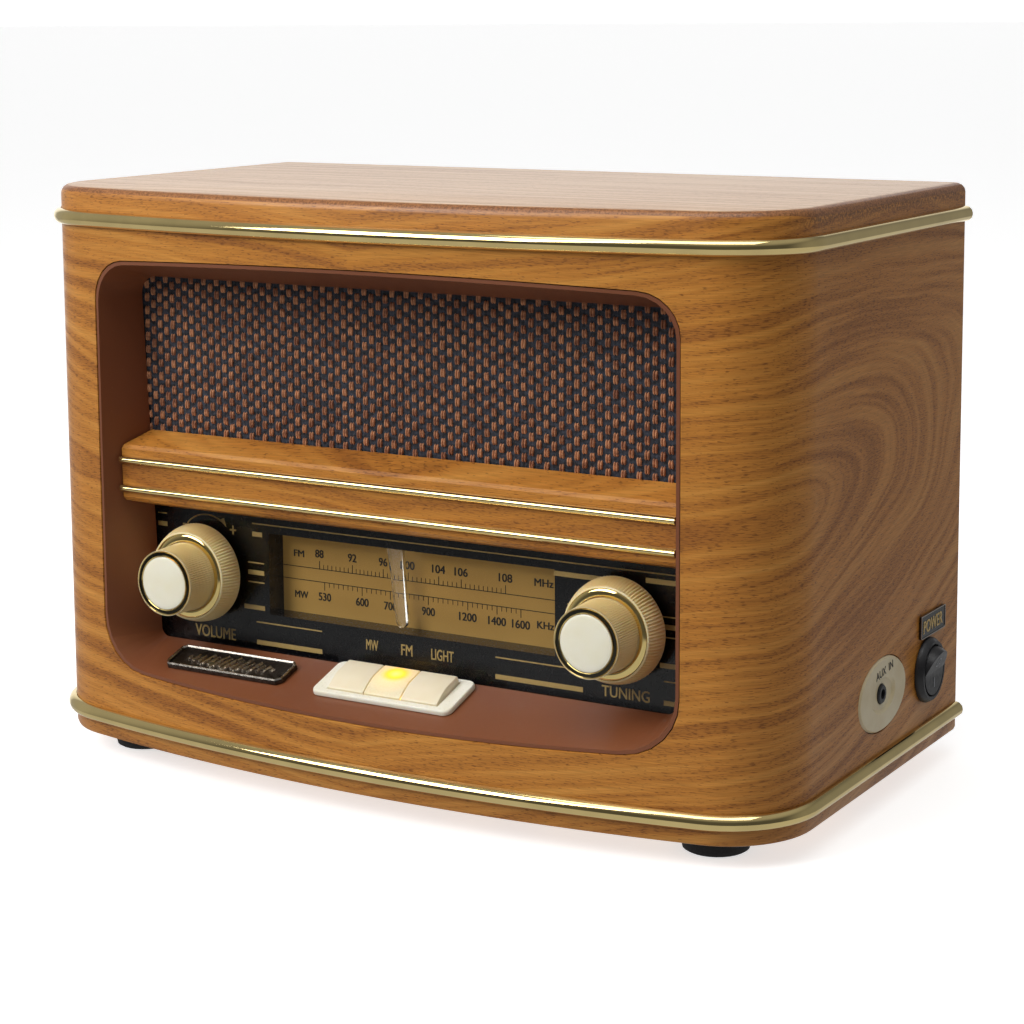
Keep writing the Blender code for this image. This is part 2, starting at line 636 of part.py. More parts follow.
def build_keys():
    outer = rectangle(-BEZEL_HALF_WIDTH, BEZEL_HALF_WIDTH, -BEZEL_LENGTH / 2, BEZEL_LENGTH / 2,
                      0.0030)
    half = KEY_PITCH + KEY_WIDTH / 2 + GAP
    reach = KEY_LENGTH / 2 + GAP
    inner = rectangle(-half, half, -reach, reach, 0.0002)
    soft = 0.0007
    edge = rectangle(-BEZEL_HALF_WIDTH + soft, BEZEL_HALF_WIDTH - soft, -BEZEL_LENGTH / 2 + soft,
                     BEZEL_LENGTH / 2 - soft, 0.0024)
    levels = ((outer, GAP), (outer, BEZEL_THICK - soft), (edge, BEZEL_THICK),
              (inner, BEZEL_THICK), (inner, GAP))
    matrix = floor_matrix(KEYS_Y, KEYS_X)
    place = (matrix.to_translation(), matrix.to_euler())
    skin("button_frame", [[(u, v, h) for u, v in loop] for loop, h in levels], "ivory", True,
         *place)
    section = [(-KEY_LENGTH / 2, -KEY_DEPTH), (-KEY_LENGTH / 2, 0.0023), (-0.0060, 0.0034),
               (-0.0040, 0.0043), (-0.0015, KEY_HEIGHT - 0.0001), (0.0, KEY_HEIGHT),
               (KEY_LENGTH / 2 - 0.0003, KEY_HEIGHT), (KEY_LENGTH / 2, KEY_HEIGHT - 0.0003),
               (KEY_LENGTH / 2, -KEY_DEPTH)]
    loops = [[(x, v, h) for v, h in section] for x in (-KEY_WIDTH / 2, KEY_WIDTH / 2)]
    for name, step in (("button_mw", -1), ("button_fm", 0), ("button_light", 1)):
        local = floor_matrix(KEYS_Y, KEYS_X + step * KEY_PITCH)
        skin(name, loops, "ivory", False, local.to_translation(), local.to_euler())
    bank = [(-0.0240, -0.0100), (0.0240, -0.0100)]
    for step in (1, 0, -1):
        middle = step * KEY_PITCH
        bank += [(middle + 0.0030, -0.0084), (middle + 0.0030, -0.0050),
                 (middle - 0.0030, -0.0050), (middle - 0.0030, -0.0084)]
    bank.insert(2, (0.0240, -0.0084))
    bank.append((-0.0240, -0.0084))
    loops = [[(x, v, h) for x, h in bank] for v in (-0.0060, 0.0060)]
    skin("switch_bank", loops, "circuit", False, *place)


def build_badge():
    half = BADGE_SIZE[0] / 2
    reach = BADGE_SIZE[1] / 2
    outline = rectangle(-half, half, -reach, reach, 0.0018, 1)
    top = rectangle(-half + 0.0004, half - 0.0004, -reach + 0.0004, reach - 0.0004, 0.0016, 1)
    matrix = floor_matrix(BADGE_Y, BADGE_X)
    levels = ((outline, GAP), (outline, BADGE_SIZE[2] - 0.0004), (top, BADGE_SIZE[2]))
    loops = [[(u, v, h) for u, v in loop] for loop, h in levels]
    skin("badge_plate", loops, "bronze", False, matrix.to_translation(), matrix.to_euler())


def build_side_fittings():
    face = CABINET_WIDTH / 2
    dish = (0.0108, 0.0066)
    cheek = JACK_RADIUS + GAP
    levels = ((AUX_HALF, face - AUX_CHEEK), (AUX_HALF, face - 0.0002),
              ((AUX_HALF[0] - 0.0006, AUX_HALF[1] - 0.0006), face + 0.0005),
              (dish, face + 0.0005), ((dish[0] - 0.0012, dish[1] - 0.0012), face - 0.0004),
              ((cheek, cheek), face - 0.0004), ((cheek, cheek), face - AUX_CHEEK))
    loops = [ellipse_loops(radii, (x,))[0] for radii, x in levels]
    skin("aux_plate", loops, "ivory", ring=True)
    bore = 0.00178
    jack = [(JACK_RADIUS, -0.0062), (JACK_RADIUS, 0.0000), (JACK_RADIUS - 0.0004, 0.0004),
            (bore, 0.0004), (bore, -0.0062)]
    base = [(bore, -0.0180), (0.0048, -0.0180), (0.0048, -0.0066), (JACK_RADIUS, -0.0066)]
    turned("aux_jack", jack[::-1] + base, "black_plastic", (face, AUX_Y, AUX_Z), FACING_RIGHT,
           ring=True, steps=20)
    flange = face + GAP
    ring = [(SWITCH_BODY, -0.0160), (SWITCH_BODY, GAP), (SWITCH_RADIUS, GAP), (SWITCH_RADIUS, 0.0010),
            (SWITCH_RADIUS - 0.0004, 0.0019), (SWITCH_RADIUS - 0.0013, SWITCH_OUT)]
    bezel = turned("power_bezel", ring, "black_plastic", (face, SWITCH_Y, SWITCH_Z), FACING_RIGHT)
    bore = ROCKER_RADIUS + GAP
    lip = 0.0004
    well = turned("rocker_well", [(bore, -0.0067), (bore, SWITCH_OUT - lip), (bore + lip, SWITCH_OUT),
                                  (bore + lip, 0.0100)],
                  "board", (face, SWITCH_Y, SWITCH_Z), FACING_RIGHT)
    combine(bezel, [well])
    build_rocker(face)
    label = rectangle(-LABEL_SIZE[0] / 2, LABEL_SIZE[0] / 2, -LABEL_SIZE[1] / 2,
                      LABEL_SIZE[1] / 2, 0.0004, 2)
    loops = [[(x, LABEL_CENTRE[0] + y, LABEL_CENTRE[1] + z) for y, z in label]
             for x in (face + GAP, face + GAP + LABEL_SIZE[2])]
    skin("power_label", loops, "black_gloss")


def build_rocker(face):
    """Round rocker whose rim is a ball about its axis; two facets meet at an angle across it."""
    place = (face + ROCKER_AXIS_OUT, SWITCH_Y, SWITCH_Z)
    back = -0.0025
    flush = SWITCH_OUT - ROCKER_AXIS_OUT
    pressed = math.asin(flush / ROCKER_RADIUS)
    proud = pressed + ROCKER_SWING
    corner = (ROCKER_RADIUS * math.sin(proud), ROCKER_RADIUS * math.cos(proud))
    rise = math.tan(ROCKER_SWING)
    fold = corner[1] - (corner[0] - flush) / rise
    rim = arc((0, 0), ROCKER_RADIUS, math.asin(1.2 * back / ROCKER_RADIUS), proud + 0.3, 7)
    rocker = turned("power_rocker", rim, "black_plastic", place, FACING_RIGHT, steps=32)
    far = 0.012
    facets = [(back, -far), (flush, -far), (flush, fold), (flush + (far - fold) * rise, far),
              (back, far)]
    wedge = skin("wedge", [[(x, y, z) for x, z in facets] for y in (-far, far)], "board",
                 location=place)
    combine(rocker, [wedge], "INTERSECT")


def build_feet():
    high = UNDERSIDE_Z - GAP
    profile = [(FOOT_RADIUS - 0.0022, 0.0), (FOOT_RADIUS - 0.0012, 0.0006),
               (FOOT_RADIUS, high - 0.0015), (FOOT_RADIUS, high)]
    places = (("foot_front_left", -FOOT_X, FOOT_FRONT_Y), ("foot_front_right", FOOT_X, FOOT_FRONT_Y),
              ("foot_back_left", -FOOT_X, FOOT_BACK_Y), ("foot_back_right", FOOT_X, FOOT_BACK_Y))
    first = None
    for name, x, y in places:
        if first is None:
            first = turned(name, profile, "rubber", (x, y, 0), FACING_UP, steps=28)
        else:
            copy_of(first, name, (x, y, 0))


def build_back():
    half = CABINET_WIDTH / 2 - WALL - GAP
    low = BAND_BOTTOM_Z + GAP
    high = BAND_TOP_Z - GAP
    rear = BACK_Y - BACK_INSET
    front = rear - BACK_THICK
    back = panel_xz("back_panel", rectangle(-half, half, low, high), front, rear, "board")
    cutters = []
    for row in range(2):
        for column in range(-5, 6):
            x = column * 0.012
            z = 0.118 + row * 0.034
            cutters.append(box("vent", (x - 0.0013, front - 0.01, z - 0.013),
                               (x + 0.0013, rear + 0.01, z + 0.013), "board"))
    cutters.append(box("inlet_cut", (INLET_X - 0.0117, front - 0.01, INLET_Z - 0.0082),
                       (INLET_X + 0.0117, rear + 0.01, INLET_Z + 0.0082), "board"))
    cutters.append(turned("gland_cut", [(0.0033, -0.02), (0.0033, 0.02)], "board",
                          (GLAND_X, rear, GLAND_Z), FACING_BACK, steps=16))
    spots = [(side * 0.128, z) for side in (-1, 1) for z in (0.030, 0.186)]
    for x, z in spots:
        cutters.append(turned("screw_cut", [(0.0018, -0.02), (0.0018, 0.02)], "board",
                              (x, rear, z), FACING_BACK, steps=12))
    combine(back, cutters)
    screw = [(0.0015, -0.0120), (0.0015, GAP), (0.0034, GAP), (0.0034, 0.0008), (0.0022, 0.0016)]
    names = ("back_screw_low_left", "back_screw_high_left", "back_screw_low_right",
             "back_screw_high_right")
    first = None
    for name, (x, z) in zip(names, spots):
        if first is None:
            first = turned(name, screw, "steel", (x, rear, z), FACING_BACK, steps=16)
        else:
            copy_of(first, name, (x, rear, z))
    build_inlet(rear)
    gland = [(0.0014, -0.0080), (0.0030, -0.0080), (0.0030, GAP), (0.0052, GAP), (0.0046, 0.0018),
             (0.0014, 0.0018)]
    turned("antenna_gland", gland, "rubber", (GLAND_X, rear, GLAND_Z), FACING_BACK, ring=True,
           steps=16)


def build_inlet(rear):
    """Two-pole mains inlet: a flanged body with a rounded socket and two pins inside."""
    body = box("mains_inlet", (INLET_X - 0.0114, rear - 0.0160, INLET_Z - 0.0079),
               (INLET_X + 0.0114, rear + GAP / 2, INLET_Z + 0.0079), "black_plastic")
    rim = panel_xz("inlet_rim", rectangle(INLET_X - 0.0140, INLET_X + 0.0140, INLET_Z - 0.0100,
                                          INLET_Z + 0.0100, 0.002), rear + GAP, rear + 0.0016,
                   "black_plastic")
    neck = box("inlet_neck", (INLET_X - 0.0100, rear - 0.001, INLET_Z - 0.0070),
               (INLET_X + 0.0100, rear + 0.001, INLET_Z + 0.0070), "black_plastic")
    combine(body, [rim, neck], "UNION")
    socket = panel_xz("socket", rectangle(INLET_X - INLET_HALF, INLET_X + INLET_HALF,
                                          INLET_Z - 0.0043, INLET_Z + 0.0043, 0.0040, 5),
                      rear - INLET_DEPTH, rear + 0.010, "board")
    combine(body, [socket])
    pins = [turned("pin", [(0.0012, 0.0), (0.0012, 0.0100)], "steel",
                   (INLET_X + side * 0.0043, rear - INLET_DEPTH - 0.001, INLET_Z), FACING_BACK,
                   steps=10) for side in (-1, 1)]
    combine(body, pins, "UNION")


def build_inside():
    floor = BAND_BOTTOM_Z + GAP / 2
    board = box("main_board", (-0.075, -0.020, floor + 0.008), (0.045, 0.060, floor + 0.0096),
                "circuit")
    legs = [turned("leg", [(0.003, 0.0), (0.003, 0.0085)], "circuit", (x, y, floor), FACING_UP,
                   steps=12) for x in (-0.069, 0.039) for y in (-0.014, 0.054)]
    combine(board, legs, "UNION")
    core = box("transformer", (0.062, -0.018, floor), (0.104, 0.014, floor + 0.036), "steel", 0.001)
    coil = box("coil", (0.071, -0.026, floor + 0.007), (0.095, 0.022, floor + 0.029), "steel", 0.002)
    combine(core, [coil], "UNION")
    rod = turned("ferrite_aerial", [(0.005, -0.055), (0.005, 0.055)], "ferrite", (0, 0.010, 0.178),
                 FACING_RIGHT, steps=20)
    ceiling = BAND_TOP_Z - GAP / 2
    hangers = [box("hanger", (x - 0.004, 0.003, 0.1705), (x + 0.004, 0.017, ceiling), "ferrite")
               for x in (-0.040, 0.040)]
    combine(rod, hangers, "UNION")


def main():
    clear_scene()
    build_cabinet()
    build_recess_frame()
    build_speaker_side()
    build_cross_bar()
    build_dial()
    build_pointer()
    build_cord_drive()
    build_controls()
    build_keys()
    build_badge()
    build_side_fittings()
    build_feet()
    build_back()
    build_inside()


main()
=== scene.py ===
"""Looks of the tabletop radio: finishes, fine surfaces, prints, light and camera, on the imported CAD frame."""

import math

import bmesh
import bpy
import numpy as np
from mathutils import Matrix, Vector


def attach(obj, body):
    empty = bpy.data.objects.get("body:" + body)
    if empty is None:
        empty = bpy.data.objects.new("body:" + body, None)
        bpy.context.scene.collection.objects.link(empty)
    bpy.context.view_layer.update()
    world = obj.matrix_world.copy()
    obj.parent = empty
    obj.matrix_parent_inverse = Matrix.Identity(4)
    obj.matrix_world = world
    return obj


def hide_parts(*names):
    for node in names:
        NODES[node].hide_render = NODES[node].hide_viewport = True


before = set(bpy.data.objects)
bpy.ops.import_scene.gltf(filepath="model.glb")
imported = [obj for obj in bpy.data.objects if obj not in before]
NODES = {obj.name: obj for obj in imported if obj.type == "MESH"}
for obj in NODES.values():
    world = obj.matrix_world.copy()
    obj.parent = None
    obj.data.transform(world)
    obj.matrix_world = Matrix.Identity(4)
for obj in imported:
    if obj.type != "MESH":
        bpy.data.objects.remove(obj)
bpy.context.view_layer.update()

# Places in metres, in the part's frame: X right, Y to the back, Z up.
PANEL_Y = -0.0549
KNOB_BACK_Y = -0.0571
KNOB_X = 0.0862
KNOB_Z = 0.0709
FLOOR_SLOPE = 0.319
FLOOR_ANGLE = math.atan(FLOOR_SLOPE)
RECESS_BOTTOM = 0.0439
KEYS_Y = -0.0654
KEYS_X = 0.0030
KEY_PITCH = 0.0151
BADGE_PLACE = (-0.0656, -0.0670)
SIDE_X = 0.150
SWITCH_PLACE = (0.0575, 0.0385)
AUX_PLACE = (0.0159, 0.0397)
LABEL_PLACE = (0.0613, 0.0552)
ROCKER_AXIS_OUT = 0.0014
ROCKER_FLUSH = 0.0017
ROCKER_RADIUS = 0.0090
ROCKER_SWING = math.radians(24)
PRINT_Y = (-0.05196, -0.05186)
SCALE_PRINT_Y = (-0.04300, -0.04292)


def srgb(red, green, blue):
    """A colour given as screen values from 0 to 255, in linear light."""
    parts = []
    for value in (red, green, blue):
        value = value / 255
        parts.append(value / 12.92 if value < 0.04045 else ((value + 0.055) / 1.055) ** 2.4)
    return (*parts, 1.0)


class Finish:
    """A material's node tree, with short calls for the nodes that finishes are made of."""

    def __init__(self, name, **sockets):
        self.material = bpy.data.materials.new(name)
        self.material.use_nodes = True
        self.tree = self.material.node_tree
        self.surface = self.tree.nodes["Principled BSDF"]
        for key, value in sockets.items():
            self.surface.inputs[key.replace("_", " ")].default_value = value
        self.place = self.add("ShaderNodeTexCoord").outputs["Object"]
        self.bumped = None

    def add(self, kind, **settings):
        node = self.tree.nodes.new(kind)
        for key, value in settings.items():
            setattr(node, key, value)
        return node

    def put(self, socket, value):
        if isinstance(value, bpy.types.NodeSocket):
            self.tree.links.new(value, socket)
        else:
            socket.default_value = value

    def calc(self, operation, *values):
        node = self.add("ShaderNodeMath", operation=operation)
        for socket, value in zip(node.inputs, values):
            self.put(socket, value)
        return node.outputs[0]

    def split(self, vector=None):
        node = self.add("ShaderNodeSeparateXYZ")
        self.put(node.inputs[0], self.place if vector is None else vector)
        return node.outputs

    def joined(self, x, y, z=0.0):
        node = self.add("ShaderNodeCombineXYZ")
        for socket, value in zip(node.inputs, (x, y, z)):
            self.put(socket, value)
        return node.outputs[0]

    def noise(self, vector=None, scale=1.0, detail=3.0, rough=0.5, stretch=None):
        vector = self.place if vector is None else vector
        if stretch:
            node = self.add("ShaderNodeVectorMath", operation="MULTIPLY")
            self.put(node.inputs[0], vector)
            node.inputs[1].default_value = stretch
            vector = node.outputs[0]
        node = self.add("ShaderNodeTexNoise")
        self.put(node.inputs["Vector"], vector)
        node.inputs["Scale"].default_value = scale
        node.inputs["Detail"].default_value = detail
        node.inputs["Roughness"].default_value = rough
        return node.outputs["Fac"]

    def cells(self, scale, feature="F1"):
        node = self.add("ShaderNodeTexVoronoi", feature=feature)
        self.put(node.inputs["Vector"], self.place)
        node.inputs["Scale"].default_value = scale
        return node.outputs["Distance"]

    def ramp(self, value, *stops):
        node = self.add("ShaderNodeValToRGB")
        points = node.color_ramp.elements
        while len(points) < len(stops):
            points.new(0.5)
        for point, (at, colour) in zip(points, stops):
            point.position = at
            point.color = colour if hasattr(colour, "__len__") else (colour, colour, colour, 1)
        self.put(node.inputs[0], value)
        return node.outputs[0]

    def between(self, value, low, high, start=0.0, end=1.0):
        """A smooth step of value from low to high, as start to end."""
        node = self.add("ShaderNodeMapRange", interpolation_type="SMOOTHSTEP")
        for socket, item in zip(node.inputs, (value, low, high, start, end)):
            self.put(socket, item)
        return node.outputs[0]

    def mix(self, share, first, second, blend="MIX"):
        node = self.add("ShaderNodeMix", data_type="RGBA", blend_type=blend)
        self.put(node.inputs[0], share)
        self.put(node.inputs[6], first)
        self.put(node.inputs[7], second)
        return node.outputs[2]

    def bump(self, height, strength, distance):
        node = self.add("ShaderNodeBump")
        node.inputs["Strength"].default_value = strength
        node.inputs["Distance"].default_value = distance
        self.put(node.inputs["Height"], height)
        if self.bumped:
            self.put(node.inputs["Normal"], self.bumped)
        self.bumped = node.outputs[0]
        self.put(self.surface.inputs["Normal"], self.bumped)

    def done(self, colour=None, roughness=None, **more):
        if colour is not None:
            self.put(self.surface.inputs["Base Color"], colour)
        if roughness is not None:
            self.put(self.surface.inputs["Roughness"], roughness)
        for key, value in more.items():
            self.put(self.surface.inputs[key.replace("_", " ")], value)
        return self.material


def grain(paint, along, across, level, light, middle, dark, pore):
    """Open-pored veneer: growth bands follow across; fibres and dark pores run straight along."""
    bands = paint.noise(paint.joined(paint.calc("MULTIPLY", along, 7.0),
                                     paint.calc("MULTIPLY", across, 220.0)), 1.0, 3.0, 0.6)
    patches = paint.noise(paint.joined(paint.calc("MULTIPLY", along, 9.0),
                                       paint.calc("MULTIPLY", across, 30.0), 3.7), 1.0, 2.0)
    fibres = paint.noise(paint.joined(paint.calc("MULTIPLY", along, 90.0),
                                      paint.calc("MULTIPLY", level, 2600.0)), 1.0, 2.0, 0.6)
    dashes = paint.noise(paint.joined(paint.calc("MULTIPLY", along, 420.0),
                                      paint.calc("MULTIPLY", level, 2900.0), 9.1), 1.0, 1.0)
    crowd = paint.between(bands, 0.66, 0.36)
    edge = paint.calc("MULTIPLY_ADD", crowd, -0.14, 0.68)
    pores = paint.between(dashes, edge, paint.calc("ADD", edge, 0.07))
    colour = paint.ramp(bands, (0.30, dark), (0.50, middle), (0.70, light))
    colour = paint.mix(paint.between(patches, 0.35, 0.75, 0.0, 0.35), colour, middle)
    shade = paint.ramp(fibres, (0.25, 0.72), (0.75, 1.12))
    colour = paint.mix(1.0, colour, shade, "MULTIPLY")
    colour = paint.mix(paint.calc("MULTIPLY", pores, 0.60), colour, pore)
    height = paint.calc("SUBTRACT", paint.calc("MULTIPLY", fibres, 0.35), pores)
    return colour, bands, height


def wrap_grain(paint):
    """Coordinates of the bent veneer: along it round the cabinet, and across its growth lines."""
    x, y, z = paint.split()
    turned_in = paint.calc("MAXIMUM", paint.calc("ADD", y, 0.062), 0.0)
    along = paint.calc("ADD", paint.calc("ABSOLUTE", x), turned_in)
    drift = paint.noise(None, 1.0, 1.0, 0.5, (7.0, 7.0, 14.0))
    ripple = paint.noise(None, 1.0, 2.0, 0.5, (26.0, 26.0, 50.0))
    heart = paint.calc("ADD", paint.calc("MULTIPLY", along, 0.16), 0.090)
    rise = paint.calc("SUBTRACT", z, heart)
    reach = paint.calc("MAXIMUM", paint.calc("SUBTRACT", along, 0.150), 0.0)
    oval = paint.calc("MULTIPLY", reach, 0.36)
    square = paint.calc("ADD", paint.calc("MULTIPLY", rise, rise), paint.calc("MULTIPLY", oval, oval))
    across = paint.calc("SQRT", paint.calc("ADD", square, 0.00004))
    across = paint.calc("ADD", across, paint.calc("MULTIPLY", drift, 0.022))
    across = paint.calc("ADD", across, paint.calc("MULTIPLY", ripple, 0.0030))
    signed = paint.calc("ADD", x, paint.calc("MULTIPLY", paint.calc("SIGN", x), turned_in))
    level = paint.calc("ADD", z, paint.calc("MULTIPLY", drift, 0.010))
    return signed, across, level


WOOD_LIGHT = srgb(214, 150, 70)
WOOD_MIDDLE = srgb(194, 127, 52)
WOOD_DARK = srgb(158, 96, 38)
WOOD_PORE = srgb(92, 50, 20)


def veneer(name):
    paint = Finish(name, Coat_Weight=0.18, Coat_Roughness=0.2, Specular_IOR_Level=0.25)
    colour, bands, height = grain(paint, *wrap_grain(paint), WOOD_LIGHT, WOOD_MIDDLE, WOOD_DARK,
                                  WOOD_PORE)
    paint.bump(height, 0.25, 0.00012)
    return paint.done(colour, paint.between(bands, 0.3, 0.7, 0.48, 0.34))


def top_veneer():
    """Paler veneer on the top, orange on the board's edge, and dark along the rounding between."""
    paint = Finish("top_veneer", Coat_Weight=0.2, Coat_Roughness=0.22, Specular_IOR_Level=0.35)
    side, _, side_height = grain(paint, *wrap_grain(paint), WOOD_LIGHT, WOOD_MIDDLE, WOOD_DARK,
                                 WOOD_PORE)
    x, y, z = paint.split()
    drift = paint.noise(None, 1.0, 2.0, 0.5, (5.0, 14.0, 1.0))
    over = paint.calc("ADD", y, paint.calc("MULTIPLY", drift, 0.035))
    flat, _, flat_height = grain(paint, x, over, over, srgb(214, 182, 148), srgb(200, 163, 127),
                                 srgb(178, 136, 100), srgb(124, 84, 56))
    across_n, along_n, upward = paint.split(paint.add("ShaderNodeNewGeometry").outputs["Normal"])
    sideways = paint.calc("ABSOLUTE", across_n)
    whole = paint.calc("ADD", paint.calc("ADD", sideways, paint.calc("ABSOLUTE", along_n)), 0.001)
    flank = paint.between(paint.calc("DIVIDE", sideways, whole), 0.55, 0.95)
    up = paint.between(upward, 0.86, 0.985)
    start = paint.calc("MULTIPLY_ADD", flank, -0.32, 0.44)
    edge = paint.calc("MULTIPLY", paint.between(upward, start, paint.calc("ADD", start, 0.10)),
                      paint.between(upward, 0.985, 0.90))
    seam = paint.calc("MULTIPLY", paint.between(upward, 0.03, 0.10), paint.between(upward, 0.24, 0.12))
    dots = paint.between(paint.noise(None, 900.0, 1.0), 0.42, 0.56)
    seam = paint.calc("MULTIPLY", paint.calc("MULTIPLY", seam, flank), dots)
    speck = paint.noise(None, 1.0, 2.0, 0.6, (1500.0, 1500.0, 1500.0))
    rim = paint.mix(paint.between(speck, 0.35, 0.65), srgb(98, 58, 32), srgb(158, 104, 62))
    colour = paint.mix(up, side, flat)
    colour = paint.mix(paint.calc("MULTIPLY", edge, 0.85), colour, rim)
    colour = paint.mix(paint.calc("MULTIPLY", seam, 0.6), colour, srgb(60, 34, 18))
    height = paint.calc("ADD", paint.calc("MULTIPLY", side_height, 0.5),
                        paint.calc("MULTIPLY", flat_height, 0.5))
    paint.bump(height, 0.25, 0.00012)
    return paint.done(colour, 0.42)


def raw_board(name, light, dark, rough=0.7):
    """Fibreboard: fine mixed specks with broader stains."""
    paint = Finish(name)
    specks = paint.noise(None, 900.0, 3.0, 0.6)
    stains = paint.noise(None, 22.0, 2.0)
    colour = paint.mix(paint.between(specks, 0.35, 0.65), dark, light)
    colour = paint.mix(paint.between(stains, 0.4, 0.7, 0.0, 0.3), colour, dark)
    paint.bump(specks, 0.3, 0.0003)
    return paint.done(colour, rough)


def painted_brown():
    paint = Finish("recess_paint", Coat_Weight=0.15, Coat_Roughness=0.3)
    peel = paint.noise(None, 420.0, 2.0)
    cloud = paint.noise(None, 14.0, 3.0)
    colour = paint.mix(cloud, srgb(112, 62, 36), srgb(132, 76, 44))
    dust = paint.between(paint.noise(None, 1500.0, 1.0), 0.74, 0.80, 0.0, 0.25)
    colour = paint.mix(dust, colour, srgb(168, 118, 88))
    paint.bump(peel, 0.22, 0.0002)
    return paint.done(colour, paint.between(cloud, 0.3, 0.7, 0.36, 0.46))


def brass(name="polished_brass", colour=(0.84, 0.66, 0.29, 1), low=0.05, high=0.11, dark_mirror_reflection=False):
    paint = Finish(name, Metallic=1.0)
    cloud = paint.noise(None, 60.0, 3.0)
    lines = paint.noise(None, 1.0, 2.0, 0.5, (40.0, 40.0, 3000.0))
    tint = paint.mix(paint.between(cloud, 0.3, 0.8), colour,
                     tuple(c * 0.86 for c in colour[:3]) + (1.0,))
    if dark_mirror_reflection:
        # painted reflection: faces turned to the front are darkened, as the mirror bezel looks when it mirrors
        # the dark room in front
        ahead = paint.split(paint.add("ShaderNodeNewGeometry").outputs["Normal"])[1]
        tint = paint.mix(paint.between(ahead, -0.80, -0.96), tint, (0.060, 0.055, 0.040, 1))
    paint.bump(lines, 0.02, 0.00002)
    return paint.done(tint, paint.between(cloud, 0.25, 0.75, low, high))


def ivory(name, colour, deep, rough=0.32, glow=0.08):
    """Cast ivory plastic with faint clouding and a fine moulded surface."""
    paint = Finish(name, Subsurface_Weight=glow, Subsurface_Radius=(0.004, 0.0025, 0.0012),
                   Subsurface_Scale=1.0, Coat_Weight=0.2, Coat_Roughness=0.2)
    cloud = paint.noise(None, 90.0, 3.0)
    fine = paint.noise(None, 1600.0, 2.0)
    tint = paint.mix(paint.between(cloud, 0.3, 0.75), colour, deep)
    paint.bump(fine, 0.06, 0.0001)
    return paint.done(tint, paint.between(fine, 0.2, 0.8, rough - 0.05, rough + 0.06))


def plastic(name, colour, rough, grit=700.0, strength=0.15, coat=0.0):
    paint = Finish(name, Coat_Weight=coat, Coat_Roughness=0.08)
    fine = paint.noise(None, grit, 3.0)
    cloud = paint.noise(None, 35.0, 2.0)
    lift = tuple(min(1.0, c * 1.6 + 0.001) for c in colour[:3]) + (1.0,)
    paint.bump(fine, strength, 0.0002)
    return paint.done(paint.mix(paint.between(cloud, 0.3, 0.8), colour, lift),
                      paint.between(fine, 0.2, 0.8, rough - 0.05, rough + 0.08))


def metal(name, colour, rough, stretch=(30.0, 30.0, 900.0)):
    paint = Finish(name, Metallic=1.0)
    lines = paint.noise(None, 1.0, 3.0, 0.5, stretch)
    tint = paint.mix(lines, tuple(c * 0.8 for c in colour[:3]) + (1.0,), colour)
    paint.bump(lines, 0.1, 0.0001)
    return paint.done(tint, paint.between(lines, 0.2, 0.8, rough - 0.06, rough + 0.08))


def clear_sheet(name, tint, shine=0.02):
    """Thin clear acrylic: what is behind shows straight through, under a glossy face."""
    paint = Finish(name)
    tree = paint.tree
    through = paint.add("ShaderNodeBsdfTransparent")
    through.inputs[0].default_value = tint
    gloss = paint.add("ShaderNodeBsdfGlossy")
    smear = paint.noise(None, 30.0, 3.0)
    paint.put(gloss.inputs["Roughness"], paint.between(smear, 0.3, 0.8, shine, shine + 0.03))
    facing = paint.add("ShaderNodeFresnel")
    facing.inputs["IOR"].default_value = 1.36
    outer = paint.calc("SUBTRACT", 1.0, paint.add("ShaderNodeNewGeometry").outputs["Backfacing"])
    mixed = paint.add("ShaderNodeMixShader")
    paint.put(mixed.inputs[0], paint.calc("MULTIPLY", facing.outputs[0], outer))
    paint.put(mixed.inputs[1], through.outputs[0])
    paint.put(mixed.inputs[2], gloss.outputs[0])
    paint.put(tree.nodes["Material Output"].inputs["Surface"], mixed.outputs[0])
    return paint.material


def glass_bar():
    paint = Finish("clear_acrylic", Transmission_Weight=1.0, IOR=1.49)
    smear = paint.noise(None, 200.0, 2.0)
    tint = paint.mix(smear, (0.93, 0.95, 0.97, 1), (0.99, 0.99, 0.99, 1))
    return paint.done(tint, paint.between(smear, 0.3, 0.8, 0.01, 0.05))


def dial_amber():
    """Amber dial card under painted lamp light: soft clouding, a painted glow, and painted light brighter along
    the lamp edge below.
    """
    paint = Finish("amber_dial", Specular_IOR_Level=0.3)
    x, y, z = paint.split()
    cloud = paint.noise(None, 1.0, 2.0, 0.5, (14.0, 1.0, 30.0))
    fine = paint.noise(None, 1200.0, 2.0)
    colour = paint.mix(paint.between(cloud, 0.3, 0.75), srgb(176, 136, 70), srgb(190, 150, 80))
    # painted light: brighter towards the bottom
    low = paint.between(z, 0.064, 0.054)
    colour = paint.mix(paint.calc("MULTIPLY", low, 0.35), colour, srgb(216, 176, 100))
    paint.bump(fine, 0.05, 0.0001)
    # painted glow: the card gives off a tenth of its colour as light of its own
    glow = paint.mix(1.0, colour, (0.10, 0.10, 0.10, 1), "MULTIPLY")
    return paint.done(colour, paint.between(fine, 0.2, 0.8, 0.38, 0.5), Emission_Color=glow,
                      Emission_Strength=1.0)


def circuit_green():
    paint = Finish("solder_mask", Coat_Weight=0.4, Coat_Roughness=0.15)
    tracks = paint.cells(260.0, "DISTANCE_TO_EDGE")
    colour = paint.mix(paint.between(tracks, 0.04, 0.08), srgb(40, 120, 62), srgb(20, 78, 40))
    paint.bump(tracks, 0.2, 0.0002)
    return paint.done(colour, 0.35)


